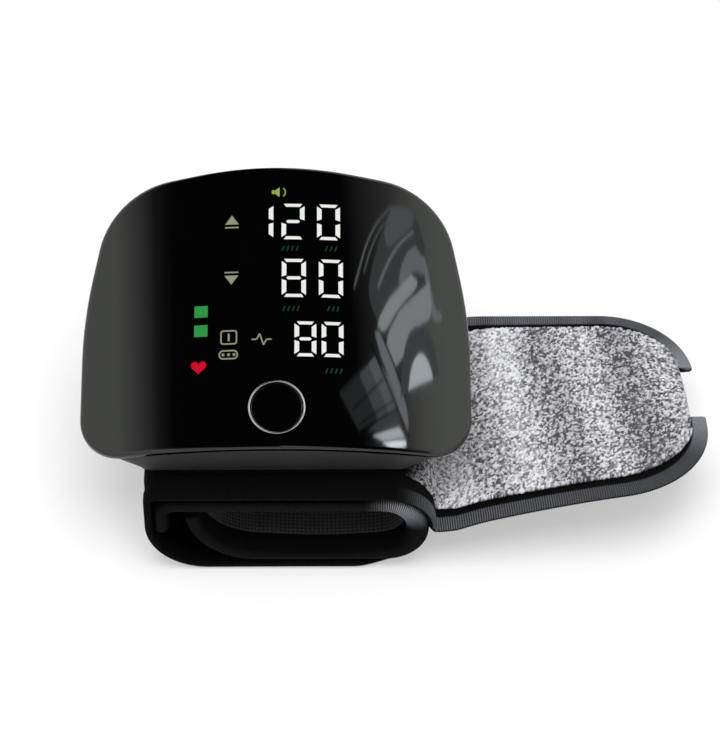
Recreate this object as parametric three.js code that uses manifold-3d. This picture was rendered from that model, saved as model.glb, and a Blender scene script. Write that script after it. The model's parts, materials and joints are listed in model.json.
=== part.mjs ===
// Wrist blood pressure monitor: a wedge-shaped case with a domed cover, on a curled cuff with a free tail.
// Millimetres, +Z up. X runs along the cuff's curl, Y across the cuff, with the front at -Y.
// The origin is in the middle of the flat underside of the cuff, which rests on a table.

import * as THREE from 'three';
import { mergeVertices } from 'three/addons/utils/BufferGeometryUtils.js';
import Module from 'manifold-3d';

const wasm = await Module();
wasm.setup();

// Clearances
const FIT_GAP = 0.3; // between pieces that touch
const LAYER_GAP = 0.2; // between the layers of the cuff
const SNUG_GAP = 0.15; // round the button, its ring and the screw threads

// Cuff loop, seen from the front
const CUFF_WIDTH = 59.5;
const BINDING_WIDTH = 5;
const BINDING_THICKNESS = 1.7;
const STRAP_THICKNESS = 1.4;
const LOOP_HEIGHT = 22.2; // from the table to the strap's top under the case
const LOOP_LEFT = 26.6; // from the origin to the outside of the left wall
const LOOP_RIGHT = 30.9; // from the origin to the outside of the curl on the right
const LOOP_BOTTOM_END = 13; // where the strap's lower end stops, right of the origin
const LOOP_LOW_RADIUS = 9.2; // lower left bend
const LOOP_TOP_RADIUS = 2.5; // upper left bend
const CURL_COVER = 0.7;
const PREFORM = 0.5;
const BLADDER = 0.7;
const LINING = 0.6;
const PLY_INSET = 1.2; // of the preform and the bladder inside the sleeve's edges
const CURL_START_HEIGHT = 11.5; // lower end of the curl on the left wall
const CURL_TOP_RADIUS = 4.2;
const FLAP_START = 4; // where the curl's inner end lifts off, left of the origin
const FLAP_RADIUS = 14.6;
const FLAP_ANGLE = 85; // degrees of bend in the inner end

// Strap tail
const TAIL_END = 88.8; // from the origin to the tip
const TAIL_ROOT_HEIGHT = 11.2; // of the strap's middle where the tail starts
const TAIL_ROOT_BEND = 2.8; // bend from the shoulder into the tail
const TAIL_TAPER = 3; // how far the near edge runs in at the tip
const TAIL_RISE = 7; // how far the near edge is lifted at the tip
const TAIL_CORNER = 20;
const TAIL_NOTCH_DEPTH = 3.6;
const TAIL_NOTCH_WIDTH = 13;
const TAIL_NOTCH_Y = 2.8;
const TAIL_BINDING_START = 1; // from the bending line
const HOOK_LENGTH = 24;
const HOOK_WIDTH = 32;
const HOOK_THICKNESS = 0.8;
const HOOK_CORNER = 5;

// Case, with u across the panel, v up its slope and n out of it
const PANEL_SLOPE = 21.5; // degrees
const PANEL_HALF_WIDTH = 39.4;
const PANEL_FAR_HALF_WIDTH = 34.1;
const PANEL_CREST_V = 62.9; // middle of the far edge, before rounding
const PANEL_FAR_DROP = 4.9; // of the far corners below the crest, before rounding
const PANEL_SIDE_RUN = 27.5; // length of the sides that runs in, up to the far corners
const PANEL_NEAR_CORNER = 9;
const PANEL_SIDE_RADIUS = 100;
const PANEL_FAR_CORNER = 17;
const PANEL_CREST_RADIUS = 105;
const PANEL_OVERHANG = 3.35; // of the near edge in front of the base
const PANEL_EDGE_RISE = 9.3; // of the near edge's middle above the base
const DOME_RADIUS = 113;
const COVER_THICKNESS = 2;
const CASE_WALL = 2;
const CASE_FLOOR = 1.8;
const CASE_RIM_INSET = 0.8; // of the case's rim inside the cover's edge
const BASE_WIDTH = 53.4;
const BASE_DEPTH = 47.5;
const BASE_CENTRE_Y = 0.5;
const BASE_CORNER = 6;
const BOSS_RADIUS = 2.4;
const SCREW_PAD = 1.2; // rise of the floor round a case screw

// Screws
const SCREW_RADIUS = 1;
const SCREW_HEAD_RADIUS = 1.9;
const SCREW_HEAD = 1.2;
const CASE_SCREW_LENGTH = 5.5;
const BOARD_SCREW_RADIUS = 0.7;
const BOARD_SCREW_HEAD_RADIUS = 1.3;
const BOARD_SCREW_HEAD = 0.8;
const BOARD_SCREW_LENGTH = 3.6;
const SLOT_WIDTH = 0.45;
const SLOT_DEPTH = 0.4;

// Button and its switch
const BUTTON_U = 0.5;
const BUTTON_V = 8.8;
const RING_RADIUS = 5.76;
const RING_WALL = 0.36;
const RING_DEPTH = 1.5;
const BUTTON_SKIRT = 1; // how far the button's flange reaches behind the cover
const BUTTON_FLANGE = 0.9;
const BUTTON_RECESS = 0.15; // of the button's face below the dome
const BUTTON_FLANGE_SINK = 0.7; // of the flange below the cover's inner face
const SWITCH_SIZE = 6;
const SWITCH_HEIGHT = 1.9;
const STEM_RADIUS = 1.4;
const STEM_RISE = 0.6; // of the stem out of the switch
const BUTTON_TRAVEL = 0.5;

// Board and display
const BOARD_DEPTH = 7.3; // from the dome's crest to the board's face
const BOARD_THICKNESS = 1.2;
const BOARD_HALF_WIDTH = 18.2;
const BOARD_NEAR_V = 5;
const BOARD_FAR_GAP = 9.9; // from the crest
const DISPLAY_LEFT_U = -17.8;
const DISPLAY_RIGHT_U = 14.8;
const DISPLAY_NEAR_V = 16;
const DISPLAY_FAR_GAP = 9.4; // from the crest
const DIFFUSER = 0.5;
const POST_RADIUS = 1.5;
const POST_U = 14.5;
const POST_V = 9;
const POST_FAR_U = 16.6;
const POST_FAR_INSET = 3; // from the board's far edge
const CHIP_SIZE = 7;
const CHIP_HEIGHT = 1;
const CHIP_U = 11.5;
const CHIP_V = 33;
const SENSOR_SIZE = 6;
const SENSOR_HEIGHT = 2.4;
const SENSOR_U = 2.5;

// Air system
const PUMP_RADIUS = 6;
const PUMP_LEFT = -18.5;
const PUMP_WALL = 0.8;
const MOTOR_LENGTH = 14;
const HEAD_LENGTH = 10.7;
const OUTLET_LENGTH = 2;
const OUTLET_RADIUS = 1.4;
const SHAFT_RADIUS = 0.75;
const ROTOR_RADIUS = 4.4;
const ROTOR_LENGTH = 9;
const CRANK_RADIUS = 2.4;
const CRANK_LENGTH = 1.4;
const CRANK_PIN_RADIUS = 0.6;
const CRANK_PIN_LENGTH = 1.2;
const CRANK_THROW = 1.2;
const DIAPHRAGM = 0.8;
const SADDLE = 1.6;
const TUBE_RADIUS = 1.4;
const TUBE_BORE = 0.8;
const SENSOR_TUBE_RADIUS = 0.7;
const SENSOR_TUBE_BORE = 0.35;
const TUBE_SWING = 2.7; // how far the pump's tube passes the manifold
const MANIFOLD_LEFT = 9;
const MANIFOLD_LENGTH = 11;
const MANIFOLD_DEPTH = 5;
const MANIFOLD_HEIGHT = 3.4;
const NIPPLE_RADIUS = 2;
const NIPPLE_BORE = 1;
const NIPPLE_PLUG = 2; // how far the nipple goes into the manifold
const VALVE_SIZE = 6.4;
const VALVE_PORT = 2; // least length of the port between the valve and the manifold
const VALVE_PORT_RADIUS = 1.2;
const VALVE_STROKE = 0.8;
const PLUNGER_RADIUS = 1.5;
const PLUNGER_LENGTH = 6;
const PLUNGER_NOSE = 1.4; // how far the plunger stands out at rest

// Power and sound
const BATTERY_LENGTH = 24;
const BATTERY_WIDTH = 12;
const BATTERY_HEIGHT = 4.8;
const BATTERY_PAD = 0.5;
const USB_WIDTH = 9;
const USB_HEIGHT = 3.2;
const USB_DEPTH = 7.3;
const USB_SHELL = 0.35;
const USB_TONGUE = 0.7;
const USB_TONGUE_SINK = 1.2; // of the tongue's tip inside the mouth
const USB_BOARD = 1;
const USB_BOARD_WIDTH = 10.4;
const USB_BOARD_DEPTH = 6.2;
const USB_BOARD_INSET = 9; // from the right side of the base
const SPEAKER_X = -6;
const SPEAKER_RADIUS = 5;
const SPEAKER_RIM = 1.5; // depth of its wide part
const SPEAKER_MAGNET_RADIUS = 3.5;
const SPEAKER_MAGNET = 1.5; // depth of its narrow part
const SPEAKER_CONE_RADIUS = 4.2;
const SPEAKER_CONE = 0.5; // depth of the cone's dish
const SPEAKER_RISE = 4; // of its rim above the floor
const SOUND_HOLE = 0.6;
const SOUND_HOLE_RING = 2.4;
const SOUND_HOLES = 6;

// Leads from the board to the pieces that it powers
const LEAD_RADIUS = 0.5;
const LEAD_BEND = 1.2;
const LEAD_INSET = 2; // from the edge of the piece that a lead comes out of

// Retainer that clamps the strap under the case
const RETAINER_WIDTH = 40;
const RETAINER_DEPTH = 38;
const RETAINER = 0.6;
const RETAINER_CORNER = 4;
const RETAINER_SCREW_X = 12;

// Fineness of round shapes
const ROUND_SIDES = 24;
const SMALL_ROUND_SIDES = 12;
const SMALL_RADIUS = 3; // round bars below this size have fewer sides
const BEND_STEP = 10; // degrees of bend for each step of a ribbon
const OUTLINE_STEPS = 6; // steps in each rounded corner
const DOME_STEPS = 20;
const DOME_SPREAD = 1.2; // how much wider than the panel the dome's arc is drawn
const CASE_RAYS = 72; // points round the case's wall
const RIM_CLEARANCE = 1; // of the wall's uppermost ring above the dome, before trimming
const TUBE_SIDES = 8;
const TUBE_STEPS = 14;
const TAIL_STEPS = 14; // along the tail
const TAIL_CROSS_STEPS = 4; // across the tail
const REACH = 80; // half the size of a cutting block, larger than the object

// Heights and places that follow from the sizes above
const radians = THREE.MathUtils.degToRad;
const halfCuff = CUFF_WIDTH / 2;
const clothHalf = halfCuff - BINDING_WIDTH - LAYER_GAP;
const curlThickness = CURL_COVER + PREFORM + BLADDER + LINING + 3 * LAYER_GAP;
const retainerTop = LOOP_HEIGHT - STRAP_THICKNESS - LAYER_GAP;
const curlTop = retainerTop - RETAINER - LAYER_GAP;
const curlBottom = BINDING_THICKNESS + LAYER_GAP;
const curlLeft = -LOOP_LEFT + BINDING_THICKNESS + LAYER_GAP;
const curlRadius = (curlTop - curlBottom) / 2;
const curlCentreX = LOOP_RIGHT - curlRadius;
const curlCentreZ = curlBottom + curlRadius;
const baseZ = LOOP_HEIGHT + FIT_GAP;
const floorZ = baseZ + CASE_FLOOR;
const seatZ = floorZ + FIT_GAP;
const baseFront = BASE_CENTRE_Y - BASE_DEPTH / 2;
const baseRear = BASE_CENTRE_Y + BASE_DEPTH / 2;
const seamDepth = COVER_THICKNESS + FIT_GAP;
const boardUnder = BOARD_DEPTH + BOARD_THICKNESS;
const panelFarV = PANEL_CREST_V - PANEL_FAR_DROP;
const panelWaistV = panelFarV - PANEL_SIDE_RUN;
const boardFarV = PANEL_CREST_V - BOARD_FAR_GAP;
const displayFarV = PANEL_CREST_V - DISPLAY_FAR_GAP;
const usbBoardRight = BASE_WIDTH / 2 - USB_BOARD_INSET;
const usbX = usbBoardRight - USB_BOARD_WIDTH / 2;
const cornerRoom = BASE_CORNER - CASE_WALL - BOSS_RADIUS - FIT_GAP;
const bossInset = BASE_CORNER - cornerRoom * Math.SQRT1_2; // of the bosses in the corners of the base

const monitor = new THREE.Group();
const panel = new THREE.Group();
panel.position.set(0, baseFront - PANEL_OVERHANG, baseZ + PANEL_EDGE_RISE);
panel.rotation.x = radians(PANEL_SLOPE);
panel.updateMatrix();
monitor.add(panel);
const panelInverse = panel.matrix.clone().invert();
const inPanel = (geometry) => geometry.clone().applyMatrix4(panelInverse);
const inWorld = (geometry) => geometry.clone().applyMatrix4(panel.matrix);

// Joining and cutting of closed shapes
function solid(geometry) {
  const bare = geometry.clone();
  bare.deleteAttribute('normal');
  bare.deleteAttribute('uv');
  const merged = mergeVertices(bare);
  const corners = merged.index.array;
  const triangles = [];
  for (let i = 0; i < corners.length; i += 3) {
    const [a, b, c] = corners.slice(i, i + 3);
    if (a !== b && b !== c && c !== a) triangles.push(a, b, c);
  }
  const vertProperties = Float32Array.from(merged.attributes.position.array);
  const triVerts = Uint32Array.from(triangles);
  return new wasm.Manifold(new wasm.Mesh({ numProp: 3, vertProperties, triVerts }));
}

const asSolid = (shape) => (shape.isBufferGeometry ? solid(shape) : shape);
const join = (...shapes) => shapes.map(asSolid).reduce((whole, next) => whole.add(next));
const cut = (...shapes) => shapes.map(asSolid).reduce((whole, next) => whole.subtract(next));
const common = (...shapes) => shapes.map(asSolid).reduce((whole, next) => whole.intersect(next));

function geometryOf(body) {
  const mesh = body.getMesh();
  const geometry = new THREE.BufferGeometry();
  geometry.setAttribute('position', new THREE.BufferAttribute(mesh.vertProperties, 3));
  geometry.setIndex(new THREE.BufferAttribute(mesh.triVerts, 1));
  geometry.computeVertexNormals();
  return geometry;
}

// Adds one named piece to a group
function piece(parent, name, finish, shape) {
  const material = new THREE.MeshStandardMaterial(finish);
  const mesh = new THREE.Mesh(geometryOf(asSolid(shape)), material);
  mesh.name = name;
  parent.add(mesh);
  return mesh;
}

// Finishes
const GLOSS_BLACK = { color: 0x0b0c0d, roughness: 0.1, metalness: 0 };
const CASE_GREY = { color: 0x2a2a28, roughness: 0.55, metalness: 0 };
const SILVER = { color: 0xb4b5b8, roughness: 0.2, metalness: 1 };
const STEEL = { color: 0xa2a4a6, roughness: 0.35, metalness: 1 };
const BOARD_GREEN = { color: 0x1f4d36, roughness: 0.6, metalness: 0 };
const CHIP_BLACK = { color: 0x17181a, roughness: 0.5, metalness: 0 };
const WHITE_PLASTIC = { color: 0xe6e6e0, roughness: 0.5, metalness: 0 };
const RUBBER = { color: 0x6b6d70, roughness: 0.75, metalness: 0 };
const FOIL = { color: 0xb9bcc0, roughness: 0.35, metalness: 0.8 };
const FOAM = { color: 0x3a3a3c, roughness: 0.9, metalness: 0 };
const PILE_GREY = { color: 0x9a9aa0, roughness: 0.95, metalness: 0 };
const TAPE_GREY = { color: 0x3c4046, roughness: 0.85, metalness: 0 };
const MESH_GREY = { color: 0x4a4b4e, roughness: 0.9, metalness: 0 };
const SLEEVE_BLACK = { color: 0x161617, roughness: 0.9, metalness: 0 };
const CLEAR_SHEET = { color: 0xd5d8da, roughness: 0.3, metalness: 0 };

// Basic shapes
function block(x0, x1, y0, y1, z0, z1) {
  const geometry = new THREE.BoxGeometry(x1 - x0, y1 - y0, z1 - z0);
  return geometry.translate((x0 + x1) / 2, (y0 + y1) / 2, (z0 + z1) / 2);
}

// A round bar along one axis; a and b are its places on the other two axes, in the order x, y, z
function bar(axis, radius, from, to, a, b) {
  const sides = radius < SMALL_RADIUS ? SMALL_ROUND_SIDES : ROUND_SIDES;
  const geometry = new THREE.CylinderGeometry(radius, radius, to - from, sides);
  geometry.translate(0, (from + to) / 2, 0);
  if (axis === 'x') return geometry.rotateZ(-Math.PI / 2).translate(0, a, b);
  if (axis === 'z') return geometry.rotateX(Math.PI / 2).translate(a, b, 0);
  return geometry.translate(a, 0, b);
}

function prism(shape, z0, z1) {
  const options = { depth: z1 - z0, curveSegments: OUTLINE_STEPS, bevelEnabled: false };
  return new THREE.ExtrudeGeometry(shape, options).translate(0, 0, z0);
}

// A flat shape in the XZ plane, drawn as x and y, made solid between two places across the cuff
function slice(shape, y0, y1, curveSegments) {
  const geometry = new THREE.ExtrudeGeometry(shape, { depth: y1 - y0, curveSegments, bevelEnabled: false });
  return geometry.rotateX(Math.PI / 2).translate(0, y1, 0);
}

// Corners of an outline as [x, y, rounding], counterclockwise, moved inwards by an inset
function insetCorners(corners, inset) {
  return corners.map(([x, y, radius], i) => {
    const before = corners.at(i - 1);
    const after = corners[(i + 1) % corners.length];
    const back = new THREE.Vector2(before[0] - x, before[1] - y).normalize();
    const ahead = new THREE.Vector2(after[0] - x, after[1] - y).normalize();
    const half = Math.acos(back.dot(ahead)) / 2;
    const inwards = back.add(ahead).normalize();
    const step = inset / Math.sin(half);
    return [x + inwards.x * step, y + inwards.y * step, radius - inset];
  });
}

function roundedShape(corners) {
  const shape = new THREE.Shape();
  corners.forEach(([x, y, radius], i) => {
    const before = corners.at(i - 1);
    const after = corners[(i + 1) % corners.length];
    const corner = new THREE.Vector2(x, y);
    const back = new THREE.Vector2(before[0] - x, before[1] - y).normalize();
    const ahead = new THREE.Vector2(after[0] - x, after[1] - y).normalize();
    const half = Math.acos(back.dot(ahead)) / 2;
    const inwards = back.clone().add(ahead).normalize();
    const centre = corner.clone().addScaledVector(inwards, radius / Math.sin(half));
    const start = corner.clone().addScaledVector(back, radius / Math.tan(half)).sub(centre);
    const end = corner.clone().addScaledVector(ahead, radius / Math.tan(half)).sub(centre);
    shape.absarc(centre.x, centre.y, radius, start.angle(), end.angle(), false);
  });
  shape.closePath();
  return shape;
}

const roundedRectangle = (x0, x1, y0, y1, radius) => roundedShape([
  [x0, y0, radius], [x1, y0, radius], [x1, y1, radius], [x0, y1, radius],
]);

// A tube along a curve, or a solid lead where it has no bore
function tube(points, radius, bore = 0) {
  const ring = new THREE.Shape().absarc(0, 0, radius, 0, 2 * Math.PI, false);
  if (bore > 0) ring.holes.push(new THREE.Path().absarc(0, 0, bore, 0, 2 * Math.PI, true));
  const extrudePath = new THREE.CatmullRomCurve3(points);
  const options = { extrudePath, steps: TUBE_STEPS, curveSegments: TUBE_SIDES / 2, bevelEnabled: false };
  return new THREE.ExtrudeGeometry(ring, options);
}

// A slotted screw along Z, its head at the lower or the upper end
function screw(x, y, headFace, up, radius, headRadius, head, length) {
  const along = (distance) => headFace + up * distance;
  const span = (from, to) => [along(from), along(to)].sort((a, b) => a - b);
  const slot = span(-SLOT_DEPTH, SLOT_DEPTH);
  return cut(
    join(
      bar('z', headRadius, ...span(0, head), x, y),
      bar('z', radius, ...span(head / 2, head + length), x, y),
    ),
    block(x - headRadius, x + headRadius, y - SLOT_WIDTH / 2, y + SLOT_WIDTH / 2, ...slot),
  );
}

// A path in the XZ plane made of straight runs and bends; its right side is the inside of the loop
class RibbonPath {
  constructor(x, z, heading) {
    this.at = new THREE.Vector2(x, z);
    this.heading = radians(heading);
    this.samples = [];
    this.mark();
  }

  mark() {
    const right = new THREE.Vector2(Math.sin(this.heading), -Math.cos(this.heading));
    this.samples.push({ point: this.at.clone(), right });
  }

  straight(length) {
    this.at.x += Math.cos(this.heading) * length;
    this.at.y += Math.sin(this.heading) * length;
    this.mark();
    return this;
  }

  // Positive angles turn right, negative ones left
  bend(radius, angle) {
    const steps = Math.ceil(Math.abs(angle) / BEND_STEP);
    const turn = -radians(angle) / steps;
    const chord = 2 * radius * Math.sin(Math.abs(turn) / 2);
    for (let i = 0; i < steps; i += 1) {
      this.at.x += Math.cos(this.heading + turn / 2) * chord;
      this.at.y += Math.sin(this.heading + turn / 2) * chord;
      this.heading += turn;
      this.mark();
    }
    return this;
  }

  // The strip between two depths inside the path
  strip(outer, inner, y0, y1) {
    const inside = ({ point, right }, depth) => point.clone().addScaledVector(right, depth);
    const edge = (depth) => this.samples.map((sample) => inside(sample, depth));
    return slice(new THREE.Shape([...edge(outer), ...edge(inner).reverse()]), y0, y1, 1);
  }
}

// The panel's outline and its dome
const panelCorners = [
  [-PANEL_HALF_WIDTH, 0, PANEL_NEAR_CORNER],
  [PANEL_HALF_WIDTH, 0, PANEL_NEAR_CORNER],
  [PANEL_HALF_WIDTH, panelWaistV, PANEL_SIDE_RADIUS],
  [PANEL_FAR_HALF_WIDTH, panelFarV, PANEL_FAR_CORNER],
  [0, PANEL_CREST_V, PANEL_CREST_RADIUS],
  [-PANEL_FAR_HALF_WIDTH, panelFarV, PANEL_FAR_CORNER],
  [-PANEL_HALF_WIDTH, panelWaistV, PANEL_SIDE_RADIUS],
];
const panelOutline = (inset) => roundedShape(insetCorners(panelCorners, inset));
const domeHeight = (u, depth) => Math.sqrt((DOME_RADIUS - depth) ** 2 - u ** 2) - DOME_RADIUS;

// Everything under the dome's surface, or under a surface some depth inside it
function underDome(depth) {
  const radius = DOME_RADIUS - depth;
  const spread = Math.asin(PANEL_HALF_WIDTH / DOME_RADIUS) * DOME_SPREAD;
  const side = radius * Math.sin(spread);
  const shape = new THREE.Shape();
  shape.absarc(0, -DOME_RADIUS, radius, Math.PI / 2 - spread, Math.PI / 2 + spread, false);
  shape.lineTo(-side, -REACH);
  shape.lineTo(side, -REACH);
  shape.closePath();
  return slice(shape, -REACH, 2 * REACH, DOME_STEPS);
}

// Points of an outline on evenly spaced rays from its middle
function rayPoints(shape, centreX, centreY) {
  const outline = shape.getPoints(2 * OUTLINE_STEPS);
  return Array.from({ length: CASE_RAYS }, (_, k) => {
    const angle = (2 * Math.PI * k) / CASE_RAYS;
    const ray = new THREE.Vector2(Math.cos(angle), Math.sin(angle));
    const distances = outline.map((point, i) => {
      const start = point.clone().sub({ x: centreX, y: centreY });
      const run = outline[(i + 1) % outline.length].clone().sub(point);
      const share = -start.cross(ray) / run.cross(ray);
      return share >= 0 && share <= 1 ? start.addScaledVector(run, share).dot(ray) : 0;
    });
    const distance = Math.max(...distances);
    return new THREE.Vector2(centreX + ray.x * distance, centreY + ray.y * distance);
  });
}

// A closed skin over rings of points, from the lowest ring to the highest
function loft(rings) {
  const count = rings[0].length;
  const total = (ring) => ring.reduce((sum, point) => sum.add(point), new THREE.Vector3());
  const middle = (ring) => total(ring).divideScalar(count);
  const points = [...rings.flat(), middle(rings[0]), middle(rings.at(-1))];
  const lowMiddle = points.length - 2;
  const highMiddle = points.length - 1;
  const highRing = count * (rings.length - 1);
  const faces = [];
  for (let k = 0; k < count; k += 1) {
    const next = (k + 1) % count;
    for (let low = 0; low < highRing; low += count) {
      faces.push(low + k, low + next, low + count + next, low + k, low + count + next, low + count + k);
    }
    faces.push(lowMiddle, next, k, highMiddle, highRing + k, highRing + next);
  }
  return new THREE.BufferGeometry().setFromPoints(points).setIndex(faces);
}

// Rings of the case's wall: the base, the rim under the cover and a ring clear above it
function caseRings(inset, baseHeight, clearance) {
  const half = BASE_WIDTH / 2 - inset;
  const base = roundedRectangle(-half, half, baseFront + inset, baseRear - inset, BASE_CORNER - inset);
  const rim = rayPoints(panelOutline(CASE_RIM_INSET + inset), 0, PANEL_CREST_V / 2);
  const onPanel = (point, n) => new THREE.Vector3(point.x, point.y, n).applyMatrix4(panel.matrix);
  return [
    rayPoints(base, 0, BASE_CENTRE_Y).map((point) => new THREE.Vector3(point.x, point.y, baseHeight)),
    rim.map((point) => onPanel(point, domeHeight(point.x, seamDepth))),
    rim.map((point) => onPanel(point, clearance)),
  ];
}

const outerRings = caseRings(0, baseZ, RIM_CLEARANCE);
const innerRings = caseRings(CASE_WALL, floorZ, 2 * RIM_CLEARANCE);
const backRay = CASE_RAYS / 4; // a quarter turn from the first ray, straight to the back
const [outerFoot, outerRim] = outerRings.map((ring) => ring[backRay]);
const [innerFoot, innerRim] = innerRings.map((ring) => ring[backRay]);
const backWallY = (z) => THREE.MathUtils.mapLinear(z, outerFoot.z, outerRim.z, outerFoot.y, outerRim.y);

// The nearest place to the front where something of this height clears the board's underside
const slopeSin = Math.sin(radians(PANEL_SLOPE));
const slopeCos = Math.cos(radians(PANEL_SLOPE));
const clearOfBoard = (z, radius = 0) => (
  panel.position.y + ((z - panel.position.z) * slopeCos + boardUnder + FIT_GAP + radius) / slopeSin
);

// How high something may reach at this place before it meets the board
const ceilingZ = (y) => (
  panel.position.z + ((y - panel.position.y) * slopeSin - boardUnder - FIT_GAP) / slopeCos
);

// Places of the pieces in the case
const bosses = [-1, 1].flatMap((side) => [baseFront + bossInset, baseRear - bossInset].map((y) => (
  { x: side * (BASE_WIDTH / 2 - bossInset), y }
)));
const posts = [
  { u: -POST_U, v: POST_V },
  { u: POST_U, v: POST_V },
  { u: POST_FAR_U, v: boardFarV - POST_FAR_INSET },
];
const batteryZ = seatZ + BATTERY_PAD + LAYER_GAP;
const batteryFront = clearOfBoard(batteryZ + BATTERY_HEIGHT);
const batteryRear = batteryFront + BATTERY_WIDTH;
const batteryRight = PUMP_LEFT + BATTERY_LENGTH;
const pumpZ = seatZ + PUMP_RADIUS;
const pumpY = Math.max(batteryRear + FIT_GAP + PUMP_RADIUS, clearOfBoard(pumpZ, PUMP_RADIUS));
const sensorUnder = boardUnder + FIT_GAP + SENSOR_HEIGHT;
const sensorFar = (batteryFront - FIT_GAP - panel.position.y - sensorUnder * slopeSin) / slopeCos;
const sensorV = sensorFar - SENSOR_SIZE / 2;
const headStart = PUMP_LEFT + MOTOR_LENGTH + FIT_GAP;
const headEnd = headStart + HEAD_LENGTH;
const manifoldFront = clearOfBoard(seatZ + MANIFOLD_HEIGHT);
const manifoldRear = manifoldFront + MANIFOLD_DEPTH;
const retainerScrewY = manifoldFront - FIT_GAP - SCREW_HEAD_RADIUS;
const retainerScrews = [-1, 1].map((side) => ({ x: side * RETAINER_SCREW_X, y: retainerScrewY }));
const manifoldRight = MANIFOLD_LEFT + MANIFOLD_LENGTH;
const nippleX = MANIFOLD_LEFT + MANIFOLD_LENGTH / 2;
const nippleY = manifoldFront + MANIFOLD_DEPTH / 2;
const valveFront = Math.max(clearOfBoard(seatZ + VALVE_SIZE), manifoldRear + VALVE_PORT);
const valveRear = valveFront + VALVE_SIZE;
const usbZ = seatZ + USB_BOARD + FIT_GAP;
const usbMouth = backWallY(usbZ + USB_HEIGHT / 2) - FIT_GAP;
const usbBoardRear = innerFoot.y - FIT_GAP;
const usbBoardFront = usbBoardRear - USB_BOARD_DEPTH;

// A seat on the inside of the back wall, with its Y axis out through the wall and its Z axis up along it
const speakerSeat = new THREE.Group();
speakerSeat.position.set(SPEAKER_X, innerFoot.y, innerFoot.z);
speakerSeat.rotation.x = -Math.atan2(innerRim.y - innerFoot.y, innerRim.z - innerFoot.z);
speakerSeat.updateMatrix();
monitor.add(speakerSeat);
const speakerHeight = SPEAKER_RISE + SPEAKER_RADIUS;
const speakerInner = -FIT_GAP - SPEAKER_RIM - SPEAKER_MAGNET; // the magnet's face, inside the case

// Case shells
function frontCover() {
  const dome = common(prism(panelOutline(0), -REACH, REACH), underDome(0));
  const plate = cut(dome, underDome(COVER_THICKNESS));
  const bossFoot = floorZ + SCREW_PAD + FIT_GAP;
  const pilotTop = baseZ + SCREW_HEAD + CASE_SCREW_LENGTH + 2 * FIT_GAP;
  const bossBars = bosses.map(({ x, y }) => inPanel(bar('z', BOSS_RADIUS, bossFoot, REACH, x, y)));
  const bossPilot = SCREW_RADIUS + SNUG_GAP;
  const bossPilots = bosses.map(({ x, y }) => inPanel(bar('z', bossPilot, 0, pilotTop, x, y)));
  const postFoot = FIT_GAP - BOARD_DEPTH;
  const postBars = posts.map(({ u, v }) => bar('z', POST_RADIUS, postFoot, REACH, u, v));
  const postPilotTop = BOARD_SCREW_LENGTH + FIT_GAP - boardUnder;
  const postPilot = BOARD_SCREW_RADIUS + SNUG_GAP;
  const postPilots = posts.map(({ u, v }) => bar('z', postPilot, -REACH, postPilotTop, u, v));
  const mounts = common(join(...bossBars, ...postBars), underDome(COVER_THICKNESS / 2));
  const buttonHole = bar('z', RING_RADIUS + SNUG_GAP, -REACH, REACH, BUTTON_U, BUTTON_V);
  return cut(join(plate, mounts), ...bossPilots, ...postPilots, buttonHole);
}

function rearCase() {
  const tub = common(cut(loft(outerRings), loft(innerRings)), inWorld(underDome(seamDepth)));
  const pads = bosses.map(({ x, y }) => bar('z', BOSS_RADIUS, baseZ, floorZ + SCREW_PAD, x, y));
  const headRoom = baseZ + SCREW_HEAD + 2 * FIT_GAP;
  const heads = bosses.map(({ x, y }) => bar('z', SCREW_HEAD_RADIUS + FIT_GAP, 0, headRoom, x, y));
  const shank = SCREW_RADIUS + FIT_GAP;
  const shanks = [...bosses, ...retainerScrews].map(({ x, y }) => bar('z', shank, 0, REACH, x, y));
  const saddleHalf = PUMP_RADIUS / 2;
  const saddles = [PUMP_LEFT + MOTOR_LENGTH / 4, headEnd - HEAD_LENGTH / 2].map((x) => block(
    x, x + SADDLE, pumpY - saddleHalf, pumpY + saddleHalf, floorZ - CASE_FLOOR / 2, pumpZ - saddleHalf,
  ));
  const pumpRoom = bar('x', PUMP_RADIUS + FIT_GAP, -REACH, REACH, pumpY, pumpZ);
  const nippleHole = bar('z', NIPPLE_RADIUS + FIT_GAP, 0, REACH, nippleX, nippleY);
  const usbHalf = USB_WIDTH / 2 + FIT_GAP;
  const usbTop = usbZ + USB_HEIGHT + FIT_GAP;
  const usbPort = block(
    usbX - usbHalf, usbX + usbHalf, usbMouth - USB_DEPTH / 2, REACH, usbZ - FIT_GAP, usbTop,
  );
  const soundHoles = Array.from({ length: SOUND_HOLES + 1 }, (_, i) => {
    const angle = (2 * Math.PI * i) / SOUND_HOLES;
    const spread = i < SOUND_HOLES ? SOUND_HOLE_RING : 0;
    const holeX = spread * Math.cos(angle);
    const holeZ = speakerHeight + spread * Math.sin(angle);
    return bar('y', SOUND_HOLE, -FIT_GAP, REACH, holeX, holeZ).applyMatrix4(speakerSeat.matrix);
  });
  const seats = cut(join(...saddles), pumpRoom);
  return cut(join(tub, ...pads, seats), ...heads, ...shanks, nippleHole, usbPort, ...soundHoles);
}

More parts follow.
